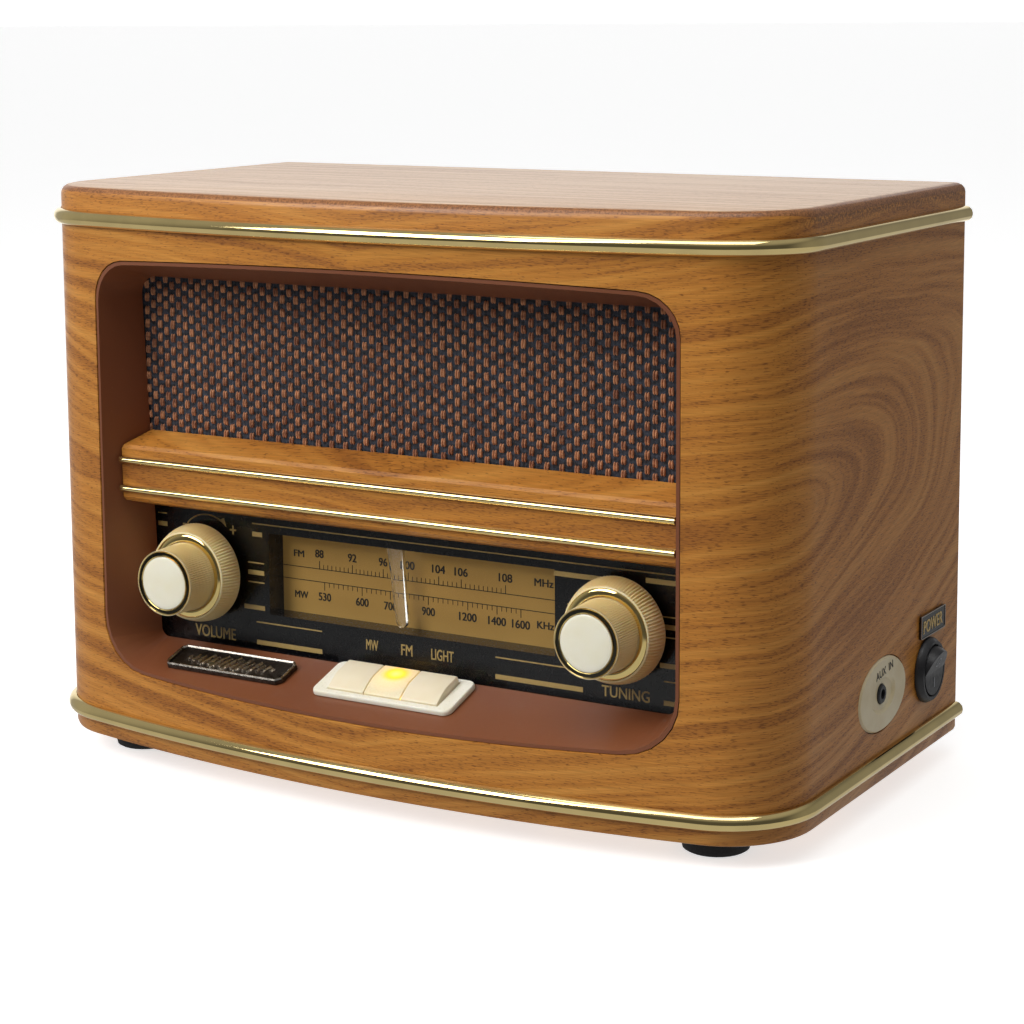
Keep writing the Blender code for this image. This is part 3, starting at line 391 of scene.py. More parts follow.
def yarn(name, light, dark, reach):
    """Twisted yarn: strands across the thread, colour that varies from stitch to stitch."""
    paint = Finish(name, Specular_IOR_Level=0.3, Sheen_Weight=0.25, Sheen_Roughness=0.5)
    stitch = paint.noise(None, 1.0, 2.0, 0.6, reach)
    strands = paint.noise(None, 1.0, 3.0, 0.6, (5200.0, 2500.0, 900.0))
    colour = paint.mix(paint.between(stitch, 0.30, 0.70), dark, light)
    colour = paint.mix(paint.between(strands, 0.35, 0.7, 0.0, 0.45), colour,
                       tuple(c * 0.35 for c in dark[:3]) + (1.0,))
    paint.bump(strands, 0.6, 0.0003)
    return paint.done(colour, 0.62)


def lit_key():
    """Ivory key with painted light from a lamp under its back part: a painted yellow ring round a white-yellow
    core.
    """
    paint = Finish("lit_key", Subsurface_Weight=0.1, Subsurface_Radius=(0.004, 0.0025, 0.0012),
                   Coat_Weight=0.15, Coat_Roughness=0.25)
    u, v, h = paint.split()
    fine = paint.noise(None, 1600.0, 2.0)
    across = paint.calc("DIVIDE", u, 0.0062)
    back = paint.calc("DIVIDE", paint.calc("SUBTRACT", v, 0.0032), 0.0050)
    reach = paint.calc("SQRT", paint.calc("ADD", paint.calc("MULTIPLY", across, across),
                                          paint.calc("MULTIPLY", back, back)))
    glow = paint.ramp(paint.calc("MULTIPLY", reach, 0.5), (0.0, (1.0, 0.90, 0.30, 1)),
                      (0.17, (1.0, 0.80, 0.10, 1)), (0.25, (1.0, 0.50, 0.0, 1)),
                      (0.33, (0.70, 0.40, 0.02, 1)), (0.50, (0.30, 0.17, 0.02, 1)),
                      (0.95, (0.0, 0.0, 0.0, 1)))
    colour = paint.mix(paint.between(fine, 0.3, 0.8), srgb(246, 232, 194), srgb(242, 224, 180))
    # painted light: the base colour turns yellow round the painted glow
    colour = paint.mix(paint.between(reach, 1.05, 0.45), colour, srgb(250, 190, 52))
    paint.bump(fine, 0.05, 0.0001)
    return paint.done(colour, 0.4, Emission_Color=glow, Emission_Strength=0.9)


def lamp_glow():
    paint = Finish("lamp_glow")
    spots = paint.noise(None, 300.0, 2.0)
    glow = paint.mix(spots, (1.0, 0.62, 0.05, 1), (1.0, 0.80, 0.15, 1))
    return paint.done(glow, 0.5, Emission_Color=glow, Emission_Strength=1.6)


def printed(name, colour, shade):
    paint = Finish(name)
    ink = paint.noise(None, 2500.0, 2.0)
    return paint.done(paint.mix(paint.between(ink, 0.3, 0.75), colour, shade), 0.45)


PAINTS = {
    "front_wood": veneer("veneer"),
    "top_wood": top_veneer(),
    "board": raw_board("raw_board", srgb(188, 156, 112), srgb(150, 118, 80)),
    "back_board": raw_board("stained_board", srgb(112, 74, 46), srgb(72, 44, 26), 0.55),
    "brown_paint": painted_brown(),
    "brass": brass(),
    "clear": clear_sheet("dial_glass", (0.94, 0.94, 0.93, 1)),
    "black_gloss": plastic("black_gloss", (0.0028, 0.0028, 0.0040, 1), 0.22, 900.0, 0.02, 0.1),
    "scale": dial_amber(),
    "cord": yarn("dial_cord_yarn", srgb(210, 204, 190), srgb(160, 152, 138), (900.0, 900.0, 900.0)),
    "ivory": ivory("ivory", srgb(226, 210, 172), srgb(216, 196, 152)),
    "steel": metal("steel", (0.62, 0.62, 0.63, 1), 0.30),
    "bronze": metal("antique_bronze", (0.20, 0.17, 0.15, 1), 0.32, (700.0, 700.0, 700.0)),
    "black_plastic": plastic("black_plastic", (0.014, 0.014, 0.016, 1), 0.42),
    "rubber": plastic("rubber", (0.012, 0.012, 0.013, 1), 0.78, 1100.0, 0.35),
    "circuit": circuit_green(),
    "ferrite": plastic("ferrite", (0.045, 0.042, 0.042, 1), 0.55, 800.0, 0.3),
    "film": clear_sheet("film", (0.92, 0.92, 0.88, 1), 0.10),
}
KEY_IVORY = ivory("key_ivory", srgb(244, 232, 204), srgb(238, 224, 190), 0.36, 0.1)
FRAME_IVORY = ivory("frame_ivory", srgb(250, 246, 230), srgb(244, 238, 216), 0.30, 0.1)
KNOB_IVORY = ivory("knob_ivory", srgb(250, 230, 178), srgb(242, 216, 156), 0.34, 0.3)
CAP_IVORY = ivory("cap_ivory", srgb(250, 244, 222), srgb(246, 238, 210), 0.22, 0.08)
KNOB_GOLD = brass("knob_gold", (0.88, 0.68, 0.27, 1), 0.04, 0.10)
# the bezel takes the painted dark reflection on its front face
KNOB_BEZEL = brass("knob_bezel_gold", (0.88, 0.68, 0.27, 1), 0.04, 0.10, True)
POINTER_CLEAR = glass_bar()
GOLD_PRINT = printed("gold_print", srgb(214, 184, 118), srgb(196, 164, 98))
DARK_PRINT = printed("dark_print", (0.012, 0.010, 0.008, 1), (0.020, 0.016, 0.012, 1))
GREY_PRINT = printed("grey_print", srgb(150, 152, 156), srgb(126, 128, 132))


def show(name, mesh, body, paint, stands_for=(), smooth=35.0):
    """A new piece in place: finished, riding on its body, standing for its CAD nodes."""
    piece = bpy.data.objects.new(name, mesh)
    bpy.context.scene.collection.objects.link(piece)
    mesh.materials.append(paint)
    if smooth:
        mesh.shade_smooth()
        mesh.set_sharp_from_angle(angle=math.radians(smooth))
    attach(piece, body)
    if stands_for:
        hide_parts(*stands_for)
    return piece


def mesh_of(name, vertices, faces):
    mesh = bpy.data.meshes.new(name)
    mesh.from_pydata([tuple(v) for v in vertices], [], faces)
    tool = bmesh.new()
    tool.from_mesh(mesh)
    bmesh.ops.recalc_face_normals(tool, faces=tool.faces)
    tool.to_mesh(mesh)
    tool.free()
    return mesh


def skin(name, loops, ring=False):
    """A mesh through loops of equal count, capped at its ends or, as a ring, joined end to end."""
    count = len(loops[0])
    vertices = [point for loop in loops for point in loop]
    faces = []
    rows = len(loops)
    for i in range(rows if ring else rows - 1):
        low = i * count
        high = (i + 1) % rows * count
        for j in range(count):
            k = (j + 1) % count
            faces.append((low + j, low + k, high + k, high + j))
    if not ring:
        faces.append(tuple(range(count)))
        faces.append(tuple((rows - 1) * count + j for j in reversed(range(count))))
    return mesh_of(name, vertices, faces)


def placed(mesh, matrix):
    mesh.transform(matrix)
    return mesh


def rounded(half_x, half_y, radius, steps=8):
    points = []
    for quarter, (sx, sy) in enumerate(((1, -1), (1, 1), (-1, 1), (-1, -1))):
        cx = sx * (half_x - radius)
        cy = sy * (half_y - radius)
        start = (quarter - 1) * math.pi / 2
        for i in range(steps + 1):
            turn = start + math.pi / 2 * i / steps
            points.append((cx + radius * math.cos(turn), cy + radius * math.sin(turn)))
    return points


def spun(name, profile, place, steps, ribs=(), depth=0.0):
    """A turned shape about the line towards the front, ribbed between the given heights."""
    loops = []
    for radius, height in profile:
        loop = []
        for i in range(steps):
            turn = 2 * math.pi * i / steps
            reach = radius
            for count, low, high in ribs:
                if low < height < high and radius > 0.0118:
                    fade = min(1.0, (height - low) / 0.0004, (high - height) / 0.0004)
                    reach -= depth * fade * (1 - abs(math.cos(count * turn / 2)))
            loop.append((place[0] + reach * math.cos(turn), place[1] - height,
                         place[2] + reach * math.sin(turn)))
        loops.append(loop)
    return skin(name, loops, ring=True)


def floor_matrix(y, x=0.0):
    """Local X across, local Y up the slope to the back, local Z square to the recess floor."""
    z = RECESS_BOTTOM - FLOOR_SLOPE * (PANEL_Y - y)
    return Matrix.Translation((x, y, z)) @ Matrix.Rotation(FLOOR_ANGLE, 4, "X")


def lettering(text):
    """A word as flat faces, in its own box from (0, 0) to (1, 1)."""
    curve = bpy.data.curves.new("word", "FONT")
    curve.body = text
    curve.resolution_u = 4
    item = bpy.data.objects.new("word", curve)
    bpy.context.scene.collection.objects.link(item)
    bpy.context.view_layer.update()
    reader = bpy.context.evaluated_depsgraph_get()
    mesh = bpy.data.meshes.new_from_object(item.evaluated_get(reader))
    bpy.data.objects.remove(item)
    points = np.array([v.co[:2] for v in mesh.vertices])
    low = points.min(0)
    span = np.maximum(points.max(0) - low, 1e-6)
    faces = [tuple(p.vertices) for p in mesh.polygons]
    points = (points - low) / span
    bpy.data.meshes.remove(mesh)
    return [tuple(p) for p in points], faces


class Print:
    """Flat printed shapes gathered into one thin piece."""

    def __init__(self):
        self.points = []
        self.faces = []

    def add(self, points, faces):
        start = len(self.points)
        self.points += [(*point, 1.0) if len(point) == 2 else point for point in points]
        self.faces += [tuple(start + i for i in face) for face in faces]

    def bar(self, left, right, low, high):
        self.add([(left, low), (right, low), (right, high), (left, high)], [(0, 1, 2, 3)])

    def word(self, text, left, right, low, high, weight=0.0):
        """A word in a box; weight thickens its strokes by that much to each side."""
        points, faces = lettering(text)
        passes = ((-1, -0.4), (1, 0.4), (-1, 0.4), (1, -0.4)) if weight else ((0, 0),)
        for layer, (side, lift) in enumerate(passes):
            self.add([(left + x * (right - left) + side * weight,
                       low + z * (high - low) + lift * weight, 1.0 + 0.08 * layer)
                      for x, z in points], faces)

    def stroke(self, path, width):
        """A line of even width through points."""
        sides = []
        for i, (x, z) in enumerate(path):
            before = path[max(0, i - 1)]
            after = path[min(len(path) - 1, i + 1)]
            along = Vector((after[0] - before[0], after[1] - before[1])).normalized()
            off = Vector((-along.y, along.x)) * width / 2
            sides.append(((x + off.x, z + off.y), (x - off.x, z - off.y)))
        points = [p for pair in sides for p in pair]
        faces = [(2 * i, 2 * i + 1, 2 * i + 3, 2 * i + 2) for i in range(len(path) - 1)]
        self.add(points, faces)

    def mesh(self, name, place):
        """place maps a point of the print and its depth, 0 at the back and 1 in front, into space."""
        tool = bmesh.new()
        corners = [tool.verts.new(place(x, z, t)) for x, z, t in self.points]
        for face in self.faces:
            tool.faces.new([corners[i] for i in face])
        back = (Vector(place(0, 0, 0)) - Vector(place(0, 0, 1)))
        made = bmesh.ops.extrude_face_region(tool, geom=list(tool.faces))
        moved = [v for v in made["geom"] if isinstance(v, bmesh.types.BMVert)]
        bmesh.ops.translate(tool, verts=moved, vec=back)
        bmesh.ops.recalc_face_normals(tool, faces=tool.faces)
        result = bpy.data.meshes.new(name)
        tool.to_mesh(result)
        tool.free()
        return result


def facing_front(depths):
    """Places a print flat to the front, between two depths."""
    front, back = depths
    return lambda x, z, t: (x, front + (back - front) * (1 - t), z)


def finish_cad_nodes():
    """Every CAD node takes its slot's finish, and is shaded smooth across its small angles."""
    soft_angle = {"trim_band_top": 62, "trim_band_bottom": 62, "bar_strip_upper": 62,
                  "bar_strip_lower": 62, "recess_frame": 40}
    for name, node in NODES.items():
        paint = PAINTS.get(SLOT_OF[name])
        if paint is None:
            continue
        node.data.materials.clear()
        node.data.materials.append(paint)
        for face in node.data.polygons:
            face.use_smooth = True
        weld = node.modifiers.new("joined", "WELD")
        weld.merge_threshold = 1e-6
        split = node.modifiers.new("creases", "EDGE_SPLIT")
        split.split_angle = math.radians(soft_angle.get(name, 30))


NODES_OF = {
    "front_wood": ("cabinet_shell", "cabinet_bottom", "cross_bar"),
    "top_wood": ("cabinet_top",),
    "board": ("baffle_board",),
    "back_board": ("back_panel",),
    "brown_paint": ("recess_frame",),
    "grille_cloth": ("grille_cloth",),
    "brass": ("trim_band_top", "trim_band_bottom", "bar_strip_upper", "bar_strip_lower",
              "volume_knob_ring", "tuning_knob_ring", "volume_knob_bezel", "tuning_knob_bezel"),
    "clear": ("dial_lens", "dial_pointer"),
    "film": ("tuning_capacitor",),
    "black_gloss": ("dial_mask", "power_label"),
    "scale": ("scale_plate",),
    "cord": ("dial_cord",),
    "bronze": ("badge_plate",),
    "circuit": ("main_board", "switch_bank"),
    "ferrite": ("ferrite_aerial",),
    "ivory": ("volume_knob", "tuning_knob", "volume_knob_cap", "tuning_knob_cap", "button_frame",
              "button_mw", "button_fm", "button_light", "aux_plate", "tuning_drum", "cord_pulley_left",
              "cord_pulley_right"),
    "steel": ("dial_chassis", "volume_control", "volume_shaft", "tuning_shaft", "transformer",
              "back_screw_low_left", "back_screw_high_left", "back_screw_low_right",
              "back_screw_high_right"),
    "black_plastic": ("pointer_carriage", "aux_jack", "power_bezel", "power_rocker", "mains_inlet",
                      "speaker_left", "speaker_right"),
    "rubber": ("foot_front_left", "foot_front_right", "foot_back_left", "foot_back_right",
               "antenna_gland"),
}
SLOT_OF = {node: slot for slot, nodes in NODES_OF.items() for node in nodes}

# Grille cloth
CLOTH_LOW = 0.0995
CLOTH_HIGH = 0.1860
CLOTH_HALF = 0.1170
CLOTH_Y = -0.0540
BRAID_X = 0.00145
BRAID_Z = 0.0012
BRAID_HEIGHT = 0.00042
STITCH_X = 0.0058
STITCH_Z = 0.0024
STITCHES_LOW = 0.1222
STITCHES_HIGH = 0.1788
STITCHES_HALF = 0.1130
STITCH_TALL = 0.00158
STITCH_WIDE = 0.00050
STITCH_HEIGHT = 0.00100


def weave_grille():
    """Dark braided ground as one stretched sheet, and the copper stitches that stand out of it."""
    step = 0.0004
    across = np.linspace(-CLOTH_HALF, CLOTH_HALF, round(2 * CLOTH_HALF / step))
    up = np.linspace(CLOTH_LOW, CLOTH_HIGH, round((CLOTH_HIGH - CLOTH_LOW) / step))
    x, z = np.meshgrid(across, up)
    column = np.floor(x / BRAID_X)
    lift = z + np.mod(column, 2) * BRAID_Z / 2
    mound = np.sqrt(np.abs(np.sin(math.pi * x / BRAID_X)) * np.abs(np.sin(math.pi * lift / BRAID_Z)))
    y = CLOTH_Y - BRAID_HEIGHT * mound
    vertices = np.stack([x, y, z], -1).reshape(-1, 3)
    wide = len(across)
    faces = [(r * wide + c, r * wide + c + 1, (r + 1) * wide + c + 1, (r + 1) * wide + c)
             for r in range(len(up) - 1) for c in range(wide - 1)]
    mesh = bpy.data.meshes.new("grille_weave")
    mesh.from_pydata(vertices.tolist(), [], faces)
    ground = yarn("charcoal_yarn", srgb(58, 63, 76), srgb(14, 16, 22), (420.0, 420.0, 700.0))
    sheet = show("grille_weave", mesh, "cabinet", ground, ("grille_cloth",), None)
    mesh.shade_smooth()
    points = []
    quads = []
    rounds = 6
    lengths = 8
    rows = round((STITCHES_HIGH - STITCHES_LOW) / STITCH_Z)
    columns = round(2 * STITCHES_HALF / STITCH_X)
    for row in range(rows):
        for column in range(columns):
            cx = (column - columns / 2 + 0.5 + (0.5 if row % 2 else 0.0)) * STITCH_X
            cz = STITCHES_LOW + row * STITCH_Z
            wobble = math.sin(row * 12.9898 + column * 78.233) * 43758.5453
            wobble -= math.floor(wobble)
            tall = STITCH_TALL + 0.00026 * wobble
            for side in (-1, 1):
                start = len(points)
                lean = (wobble - 0.5) * 0.00025
                for i in range(lengths + 1):
                    t = -1 + 2 * i / lengths
                    taper = max(0.0, 1 - t * t) ** 0.35
                    for j in range(rounds + 1):
                        turn = math.pi * (j / rounds - 0.5)
                        points.append((cx + side * 0.00047 + lean * t + STITCH_WIDE * taper * math.sin(turn),
                                       CLOTH_Y - 0.0001 - STITCH_HEIGHT * taper * math.cos(turn),
                                       cz + tall * t))
                span = rounds + 1
                quads += [(start + i * span + j, start + i * span + j + 1,
                           start + (i + 1) * span + j + 1, start + (i + 1) * span + j)
                          for i in range(lengths) for j in range(rounds)]
    mesh = bpy.data.meshes.new("grille_stitches")
    mesh.from_pydata(points, [], quads)
    copper = yarn("copper_yarn", srgb(226, 160, 114), srgb(150, 94, 66), (210.0, 210.0, 420.0))
    stitches = show("grille_stitches", mesh, "cabinet", copper, (), None)
    mesh.shade_smooth()


def dress_knob(prefix, x):
    """Ribbed two-tier knob with a mirror ring in each tier and a domed ivory cap."""
    place = (x, KNOB_BACK_Y, KNOB_Z)
    body = f"{prefix}_control_knob"
    profile = [(0.0032, 0.0000), (0.0172, 0.0000), (0.01790, 0.0003), (0.01814, 0.0009)]
    profile += [(0.01814 - 0.00024 * t - 0.00160 * t * t, 0.0010 + 0.0070 * t)
                for t in (0.02, 0.15, 0.3, 0.45, 0.6, 0.75, 0.9, 0.99)]
    profile += [(0.01608, 0.0084), (0.01575, 0.0087), (0.01550, 0.0087), (0.01545, 0.0078),
                (0.0127, 0.0078), (0.0124, 0.0084)]
    profile += [(0.0124 - 0.0005 * t, 0.0088 + 0.0122 * t)
                for t in (0.0, 0.04, 0.2, 0.4, 0.6, 0.8, 0.96, 1.0)]
    profile += [(0.01188, 0.0214), (0.01180, 0.0217), (0.01172, 0.0217), (0.01167, 0.0212),
                (0.01165, 0.0204), (0.0032, 0.0204)]
    mesh = spun(f"{prefix}_knob_ribbed", profile, place, 96 * 6,
                ((96, 0.0007, 0.0084), (96, 0.0087, 0.0212)), 0.00070)
    show(f"{prefix}_knob_ribbed", mesh, body, KNOB_IVORY, (f"{prefix}_knob",), 50)
    ring = [(0.0129, 0.0081), (0.0152, 0.0081), (0.0152, 0.0086), (0.0149, 0.0088),
            (0.0133, 0.0091), (0.0129, 0.0090)]
    mesh = spun(f"{prefix}_mirror_ring", ring, place, 96)
    show(f"{prefix}_mirror_ring", mesh, body, KNOB_GOLD, (f"{prefix}_knob_ring",), 40)
    bezel = [(0.0098, 0.0207), (0.0115, 0.0207), (0.0115, 0.0215), (0.01142, 0.0217),
             (0.01132, 0.0216), (0.01128, 0.0213), (0.0101, 0.0213), (0.01005, 0.0216),
             (0.00995, 0.0218), (0.0098, 0.0216)]
    mesh = spun(f"{prefix}_mirror_bezel", bezel, place, 96)
    show(f"{prefix}_mirror_bezel", mesh, body, KNOB_BEZEL, (f"{prefix}_knob_bezel",), 25)
    cap = [(0.00955, 0.0207), (0.00955, 0.0216)]
    cap += [(0.00955 * math.cos(t), 0.0216 + 0.0006 * math.sin(t))
            for t in (0.25, 0.5, 0.75, 1.0, 1.2, 1.35, 1.47, 1.55)]
    loops = [[(place[0] + r * math.cos(2 * math.pi * i / 96), place[1] - h,
               place[2] + r * math.sin(2 * math.pi * i / 96)) for i in range(96)] for r, h in cap]
    show(f"{prefix}_cap_domed", skin(f"{prefix}_cap_domed", loops), body, CAP_IVORY,
         (f"{prefix}_knob_cap",), 50)


def dress_keys():
    """Keys with a flat back part that falls in a soft curve to the front, in a thin frame."""
    section = [(-0.00745, -0.0030), (-0.00745, 0.0020), (-0.00735, 0.0024)]
    for i in range(11):
        t = i / 10
        section.append((-0.0071 + 0.0083 * t, 0.0026 + 0.0022 * math.sin(t * math.pi / 2)))
    section += [(0.0070, 0.0048), (0.0073, 0.0047), (0.00745, 0.0044), (0.00745, -0.0030)]
    half = 0.00735
    soft = 0.00035
    stations = [(-half, soft), (-half + soft * 0.3, soft * 0.3), (-half + soft, 0.0),
                (half - soft, 0.0), (half - soft * 0.3, soft * 0.3), (half, soft)]
    for name, body, step, paint in (("mw", "key_mw", -1, KEY_IVORY), ("fm", "key_fm", 0, lit_key()),
                                    ("light", "key_light", 1, KEY_IVORY)):
        loops = []
        for u, shrink in stations:
            loops.append([(u, v, h - shrink if h > 0 else h) for v, h in section])
        piece = show(f"key_{name}_cap", skin(f"key_{name}_cap", loops), body, paint,
                     (f"button_{name}",), 40)
        piece.matrix_world = floor_matrix(KEYS_Y, KEYS_X + step * KEY_PITCH)
    levels = [(0.0284, 0.0102, 0.0030, 0.0003), (0.0284, 0.0102, 0.0030, 0.0013),
              (0.02828, 0.01008, 0.0029, 0.0017), (0.0280, 0.0098, 0.0027, 0.0020),
              (0.0277, 0.0095, 0.0024, 0.0020), (0.0229, 0.00785, 0.0004, 0.0020),
              (0.0228, 0.00775, 0.0003, 0.0018), (0.0228, 0.00775, 0.0003, 0.0003)]
    loops = [[(u, v, h) for u, v in rounded(a, b, r)] for a, b, r, h in levels]
    mesh = placed(skin("key_frame", loops, ring=True), floor_matrix(KEYS_Y, KEYS_X))
    show("key_frame", mesh, "cabinet", FRAME_IVORY, ("button_frame",), 40)
    glow = [(-0.0001, -0.0070), (0.0001, -0.0070), (0.0001, 0.0070), (-0.0001, 0.0070)]
    loops = [[(u + KEY_PITCH / 2, v, h) for u, v in glow] for h in (0.0006, 0.0022)]
    mesh = placed(skin("key_lamp_glow", loops), floor_matrix(KEYS_Y, KEYS_X))
    show("key_lamp_glow", mesh, "cabinet", lamp_glow(), (), None)


def dress_badge():
    """Badge with a raised bevelled rim, a pebbled field and a plain band of slanted bars."""
    matrix = floor_matrix(BADGE_PLACE[1], BADGE_PLACE[0])
    levels = [(0.0257, 0.00665, 0.0018, 0.0003), (0.0257, 0.00665, 0.0018, 0.0013),
              (0.0255, 0.00645, 0.0017, 0.0019), (0.0252, 0.00615, 0.0015, 0.0020),
              (0.0249, 0.00585, 0.0012, 0.0019), (0.0246, 0.00555, 0.0010, 0.0012)]
    loops = [[(u, v, h) for u, v in rounded(a, b, r, 1)] for a, b, r, h in levels]
    mesh = placed(skin("badge_body", loops), matrix)
    paint = Finish("badge_bronze", Metallic=1.0)
    u, v, h = paint.split()
    pebble = paint.cells(1500.0)
    rim = paint.between(paint.noise(None, 900.0, 2.0), 0.3, 0.7)
    flat = paint.mix(rim, (0.055, 0.045, 0.038, 1), (0.11, 0.092, 0.078, 1))
    paint.bump(pebble, 0.5, 0.0003)
    dark = paint.done(flat, 0.34)
    show("badge_body", mesh, "cabinet", dark, ("badge_plate",), 25)
    bright = metal("badge_rim", (0.66, 0.60, 0.52, 1), 0.24, (500.0, 500.0, 500.0))
    levels = [(0.02565, 0.00660, 0.0018, 0.00185), (0.0253, 0.00625, 0.0016, 0.00235),
              (0.0250, 0.00595, 0.0014, 0.00235), (0.0246, 0.00555, 0.0012, 0.00185)]
    loops = [[(a, b, h) for a, b in rounded(x, y, r, 1)] for x, y, r, h in levels]
    mesh = placed(skin("badge_rim_bright", loops, ring=True), matrix)
    show("badge_rim_bright", mesh, "cabinet", bright, (), 25)
    bars = 15
    tool = bmesh.new()
    for i in range(bars):
        off = i - (bars - 1) / 2
        u = off * 0.0026
        share = abs(off) / (bars / 2)
        tall = 0.0040 * (1 - share ** 2) * (0.62 + 0.38 * (i % 2)) + 0.0008
        outline = rounded(0.00062, tall, 0.0005, 3)
        low = [tool.verts.new((u + a + b * 0.35, b, 0.00125)) for a, b in outline]
        high = [tool.verts.new((u + a * 0.6 + b * 0.33, b * 0.94, 0.00195)) for a, b in outline]
        count = len(outline)
        for j in range(count):
            k = (j + 1) % count
            tool.faces.new((low[j], low[k], high[k], high[j]))
        tool.faces.new(high)
        tool.faces.new(list(reversed(low)))
    bmesh.ops.recalc_face_normals(tool, faces=tool.faces)
    mesh = bpy.data.meshes.new("badge_relief")
    tool.to_mesh(mesh)
    tool.free()
    show("badge_relief", placed(mesh, matrix), "cabinet", bright, (), 25)


def print_panel():
    """Gold lines, blocks and words on the black panel, just behind its clear front."""
    gold = Print()
    thin = 0.00022
    for left, right, z in ((-66.6, 105.9, 89.9), (-109.8, -105.6, 89.7), (-68.8, -61.6, 75.4),
                           (-68.8, -61.6, 68.2), (64.3, 108.0, 75.7), (64.3, 108.0, 68.8),
                           (100.7, 108.0, 53.9), (-65.4, -36.5, 53.5), (36.0, 63.8, 53.6)):
        gold.bar(left / 1000, right / 1000, z / 1000 - thin, z / 1000 + thin)
    thick = 0.00085
    for left, right, z in ((-109.8, -105.6, 85.7), (-66.6, -62.2, 86.0), (-68.8, -61.6, 71.8),
                           (-70.8, -61.6, 58.8), (59.2, 77.0, 85.7), (93.9, 108.0, 87.2),
                           (64.3, 108.0, 72.3), (99.2, 108.0, 59.2), (100.7, 108.0, 46.6),
                           (-65.4, -36.5, 46.0), (35.9, 70.2, 46.8)):
        gold.bar(left / 1000, right / 1000, z / 1000 - thick, z / 1000 + thick)
    gold.bar(-0.0982, -0.0959, 0.08630, 0.08680)
    gold.bar(-0.0767, -0.0739, 0.08620, 0.08680)
    gold.bar(-0.0756, -0.0750, 0.08489, 0.08811)
    path = []
    for i in range(17):
        turn = math.radians(144 - 96 * i / 16)
        path.append((-0.0871 + 0.0112 * math.cos(turn), 0.0812 + 0.0099 * math.sin(turn)))
    gold.stroke(path, 0.0005)
    tip = path[-1]
    gold.add([(tip[0] - 0.0017, tip[1] + 0.0011), (tip[0] + 0.0003, tip[1] + 0.0020),
              (tip[0] + 0.0013, tip[1] - 0.0013)], [(0, 2, 1)])
    for text, left, right, low, high in (("VOLUME", -93.5, -75.1, 45.2, 49.5),
                                         ("MW", -17.4, -12.4, 49.4, 53.1),
                                         ("FM", -2.6, 2.0, 49.3, 53.2),
                                         ("LIGHT", 9.9, 19.0, 49.3, 53.2),
                                         ("TUNING", 77.5, 95.4, 45.8, 49.6)):
        gold.word(text, left / 1000, right / 1000, low / 1000, high / 1000, 0.00006)
    mesh = gold.mesh("panel_print", facing_front(PRINT_Y))
    show("panel_print", mesh, "cabinet", GOLD_PRINT, (), None)


def print_scale():
    """Dial numbers, their lines and the graduations between them."""
    ink = Print()
    left = -0.0597
    thin = 0.00013
    for z in (0.07375, 0.0690, 0.0563):
        ink.bar(left, 0.0594, z - thin, z + thin)
    ink.bar(left - thin, left + thin, 0.0563, 0.0690)
    ink.bar(left - thin, left + thin, 0.07375, 0.0868)
    bands = ((((88, -43.4), (92, -29.1), (96, -15.8), (100, -5.2), (104, 7.5), (106, 16.8),
               (108, 34.8)), (8, 8, 6, 7, 5, 10), 0.07375, 1, (0.0779, 0.0808)),
             (((530, -41.3), (600, -25.0), (700, -12.9), (900, 3.1), (1200, 19.4), (1400, 31.3),
               (1600, 40.9)), (8, 6, 8, 8, 6, 5), 0.0690, -1, (0.0622, 0.0651)))
    for majors, parts, base, way, heights in bands:
        for i, (number, place) in enumerate(majors):
            x = place / 1000
            ink.bar(x - thin, x + thin, *sorted((base, base + way * 0.0030)))
            wide = 0.00176 * len(str(number)) / 2
            ink.word(str(number), x - wide, x + wide, *heights, 0.00009)
            if i < len(parts):
                following = majors[i + 1][1] / 1000
                for k in range(1, parts[i]):
                    at = x + (following - x) * k / parts[i]
                    ink.bar(at - thin * 0.8, at + thin * 0.8, *sorted((base, base + way * 0.0017)))
    ink.word("FM", -0.0546, -0.0502, 0.0774, 0.0798, 0.00009)
    ink.word("MW", -0.0544, -0.0487, 0.0622, 0.0647, 0.00009)
    ink.word("MHz", 0.0464, 0.0538, 0.0780, 0.0806, 0.00009)
    ink.word("KHz", 0.0474, 0.0540, 0.0632, 0.0657, 0.00009)
    mesh = ink.mesh("scale_print", facing_front(SCALE_PRINT_Y))
    show("scale_print", mesh, "cabinet", DARK_PRINT, (), None)


def print_side():
    """Words and marks on the right side: socket plate, label and rocker."""
    ink = Print()
    turn = math.radians(7)
    points, faces = lettering("AUX  IN")
    words = []
    for x, z in points:
        u = (x - 0.5) * 0.0150
        v = (z - 0.5) * 0.0028
        words.append((u * math.cos(turn) - v * math.sin(turn),
                      u * math.sin(turn) + v * math.cos(turn)))
    ink.add(words, faces)
    back = SIDE_X + 0.00052
    place = lambda u, v, t: (back + 0.00010 * t, AUX_PLACE[0] + 0.0008 + u, AUX_PLACE[1] + 0.0081 + v)
    show("aux_print", ink.mesh("aux_print", place), "cabinet", DARK_PRINT, (), None)
    gold = Print()
    gold.word("POWER", -0.0094, 0.0090, -0.0024, 0.0022, 0.0001)
    back = SIDE_X + 0.0003 + 0.0006
    place = lambda u, v, t: (back + 0.0001 * t, LABEL_PLACE[0] + u, LABEL_PLACE[1] + v + u * 0.02)
    show("label_print", gold.mesh("label_print", place), "cabinet", GOLD_PRINT, (), None)
    levels = [(0.01175, 0.0042, 0.0006, 0.0000), (0.01175, 0.0042, 0.0006, 0.0008),
              (0.01145, 0.0039, 0.0004, 0.0008), (0.01145, 0.0039, 0.0004, 0.0000)]
    loops = [[(SIDE_X + 0.00032 + h, LABEL_PLACE[0] + u, LABEL_PLACE[1] + v)
              for u, v in rounded(a, b, r, 3)] for a, b, r, h in levels]
    rim = metal("label_rim", (0.45, 0.42, 0.38, 1), 0.3, (500.0, 500.0, 500.0))
    show("label_rim", skin("label_rim", loops, ring=True), "cabinet", rim, (), 30)
    mark_rocker()


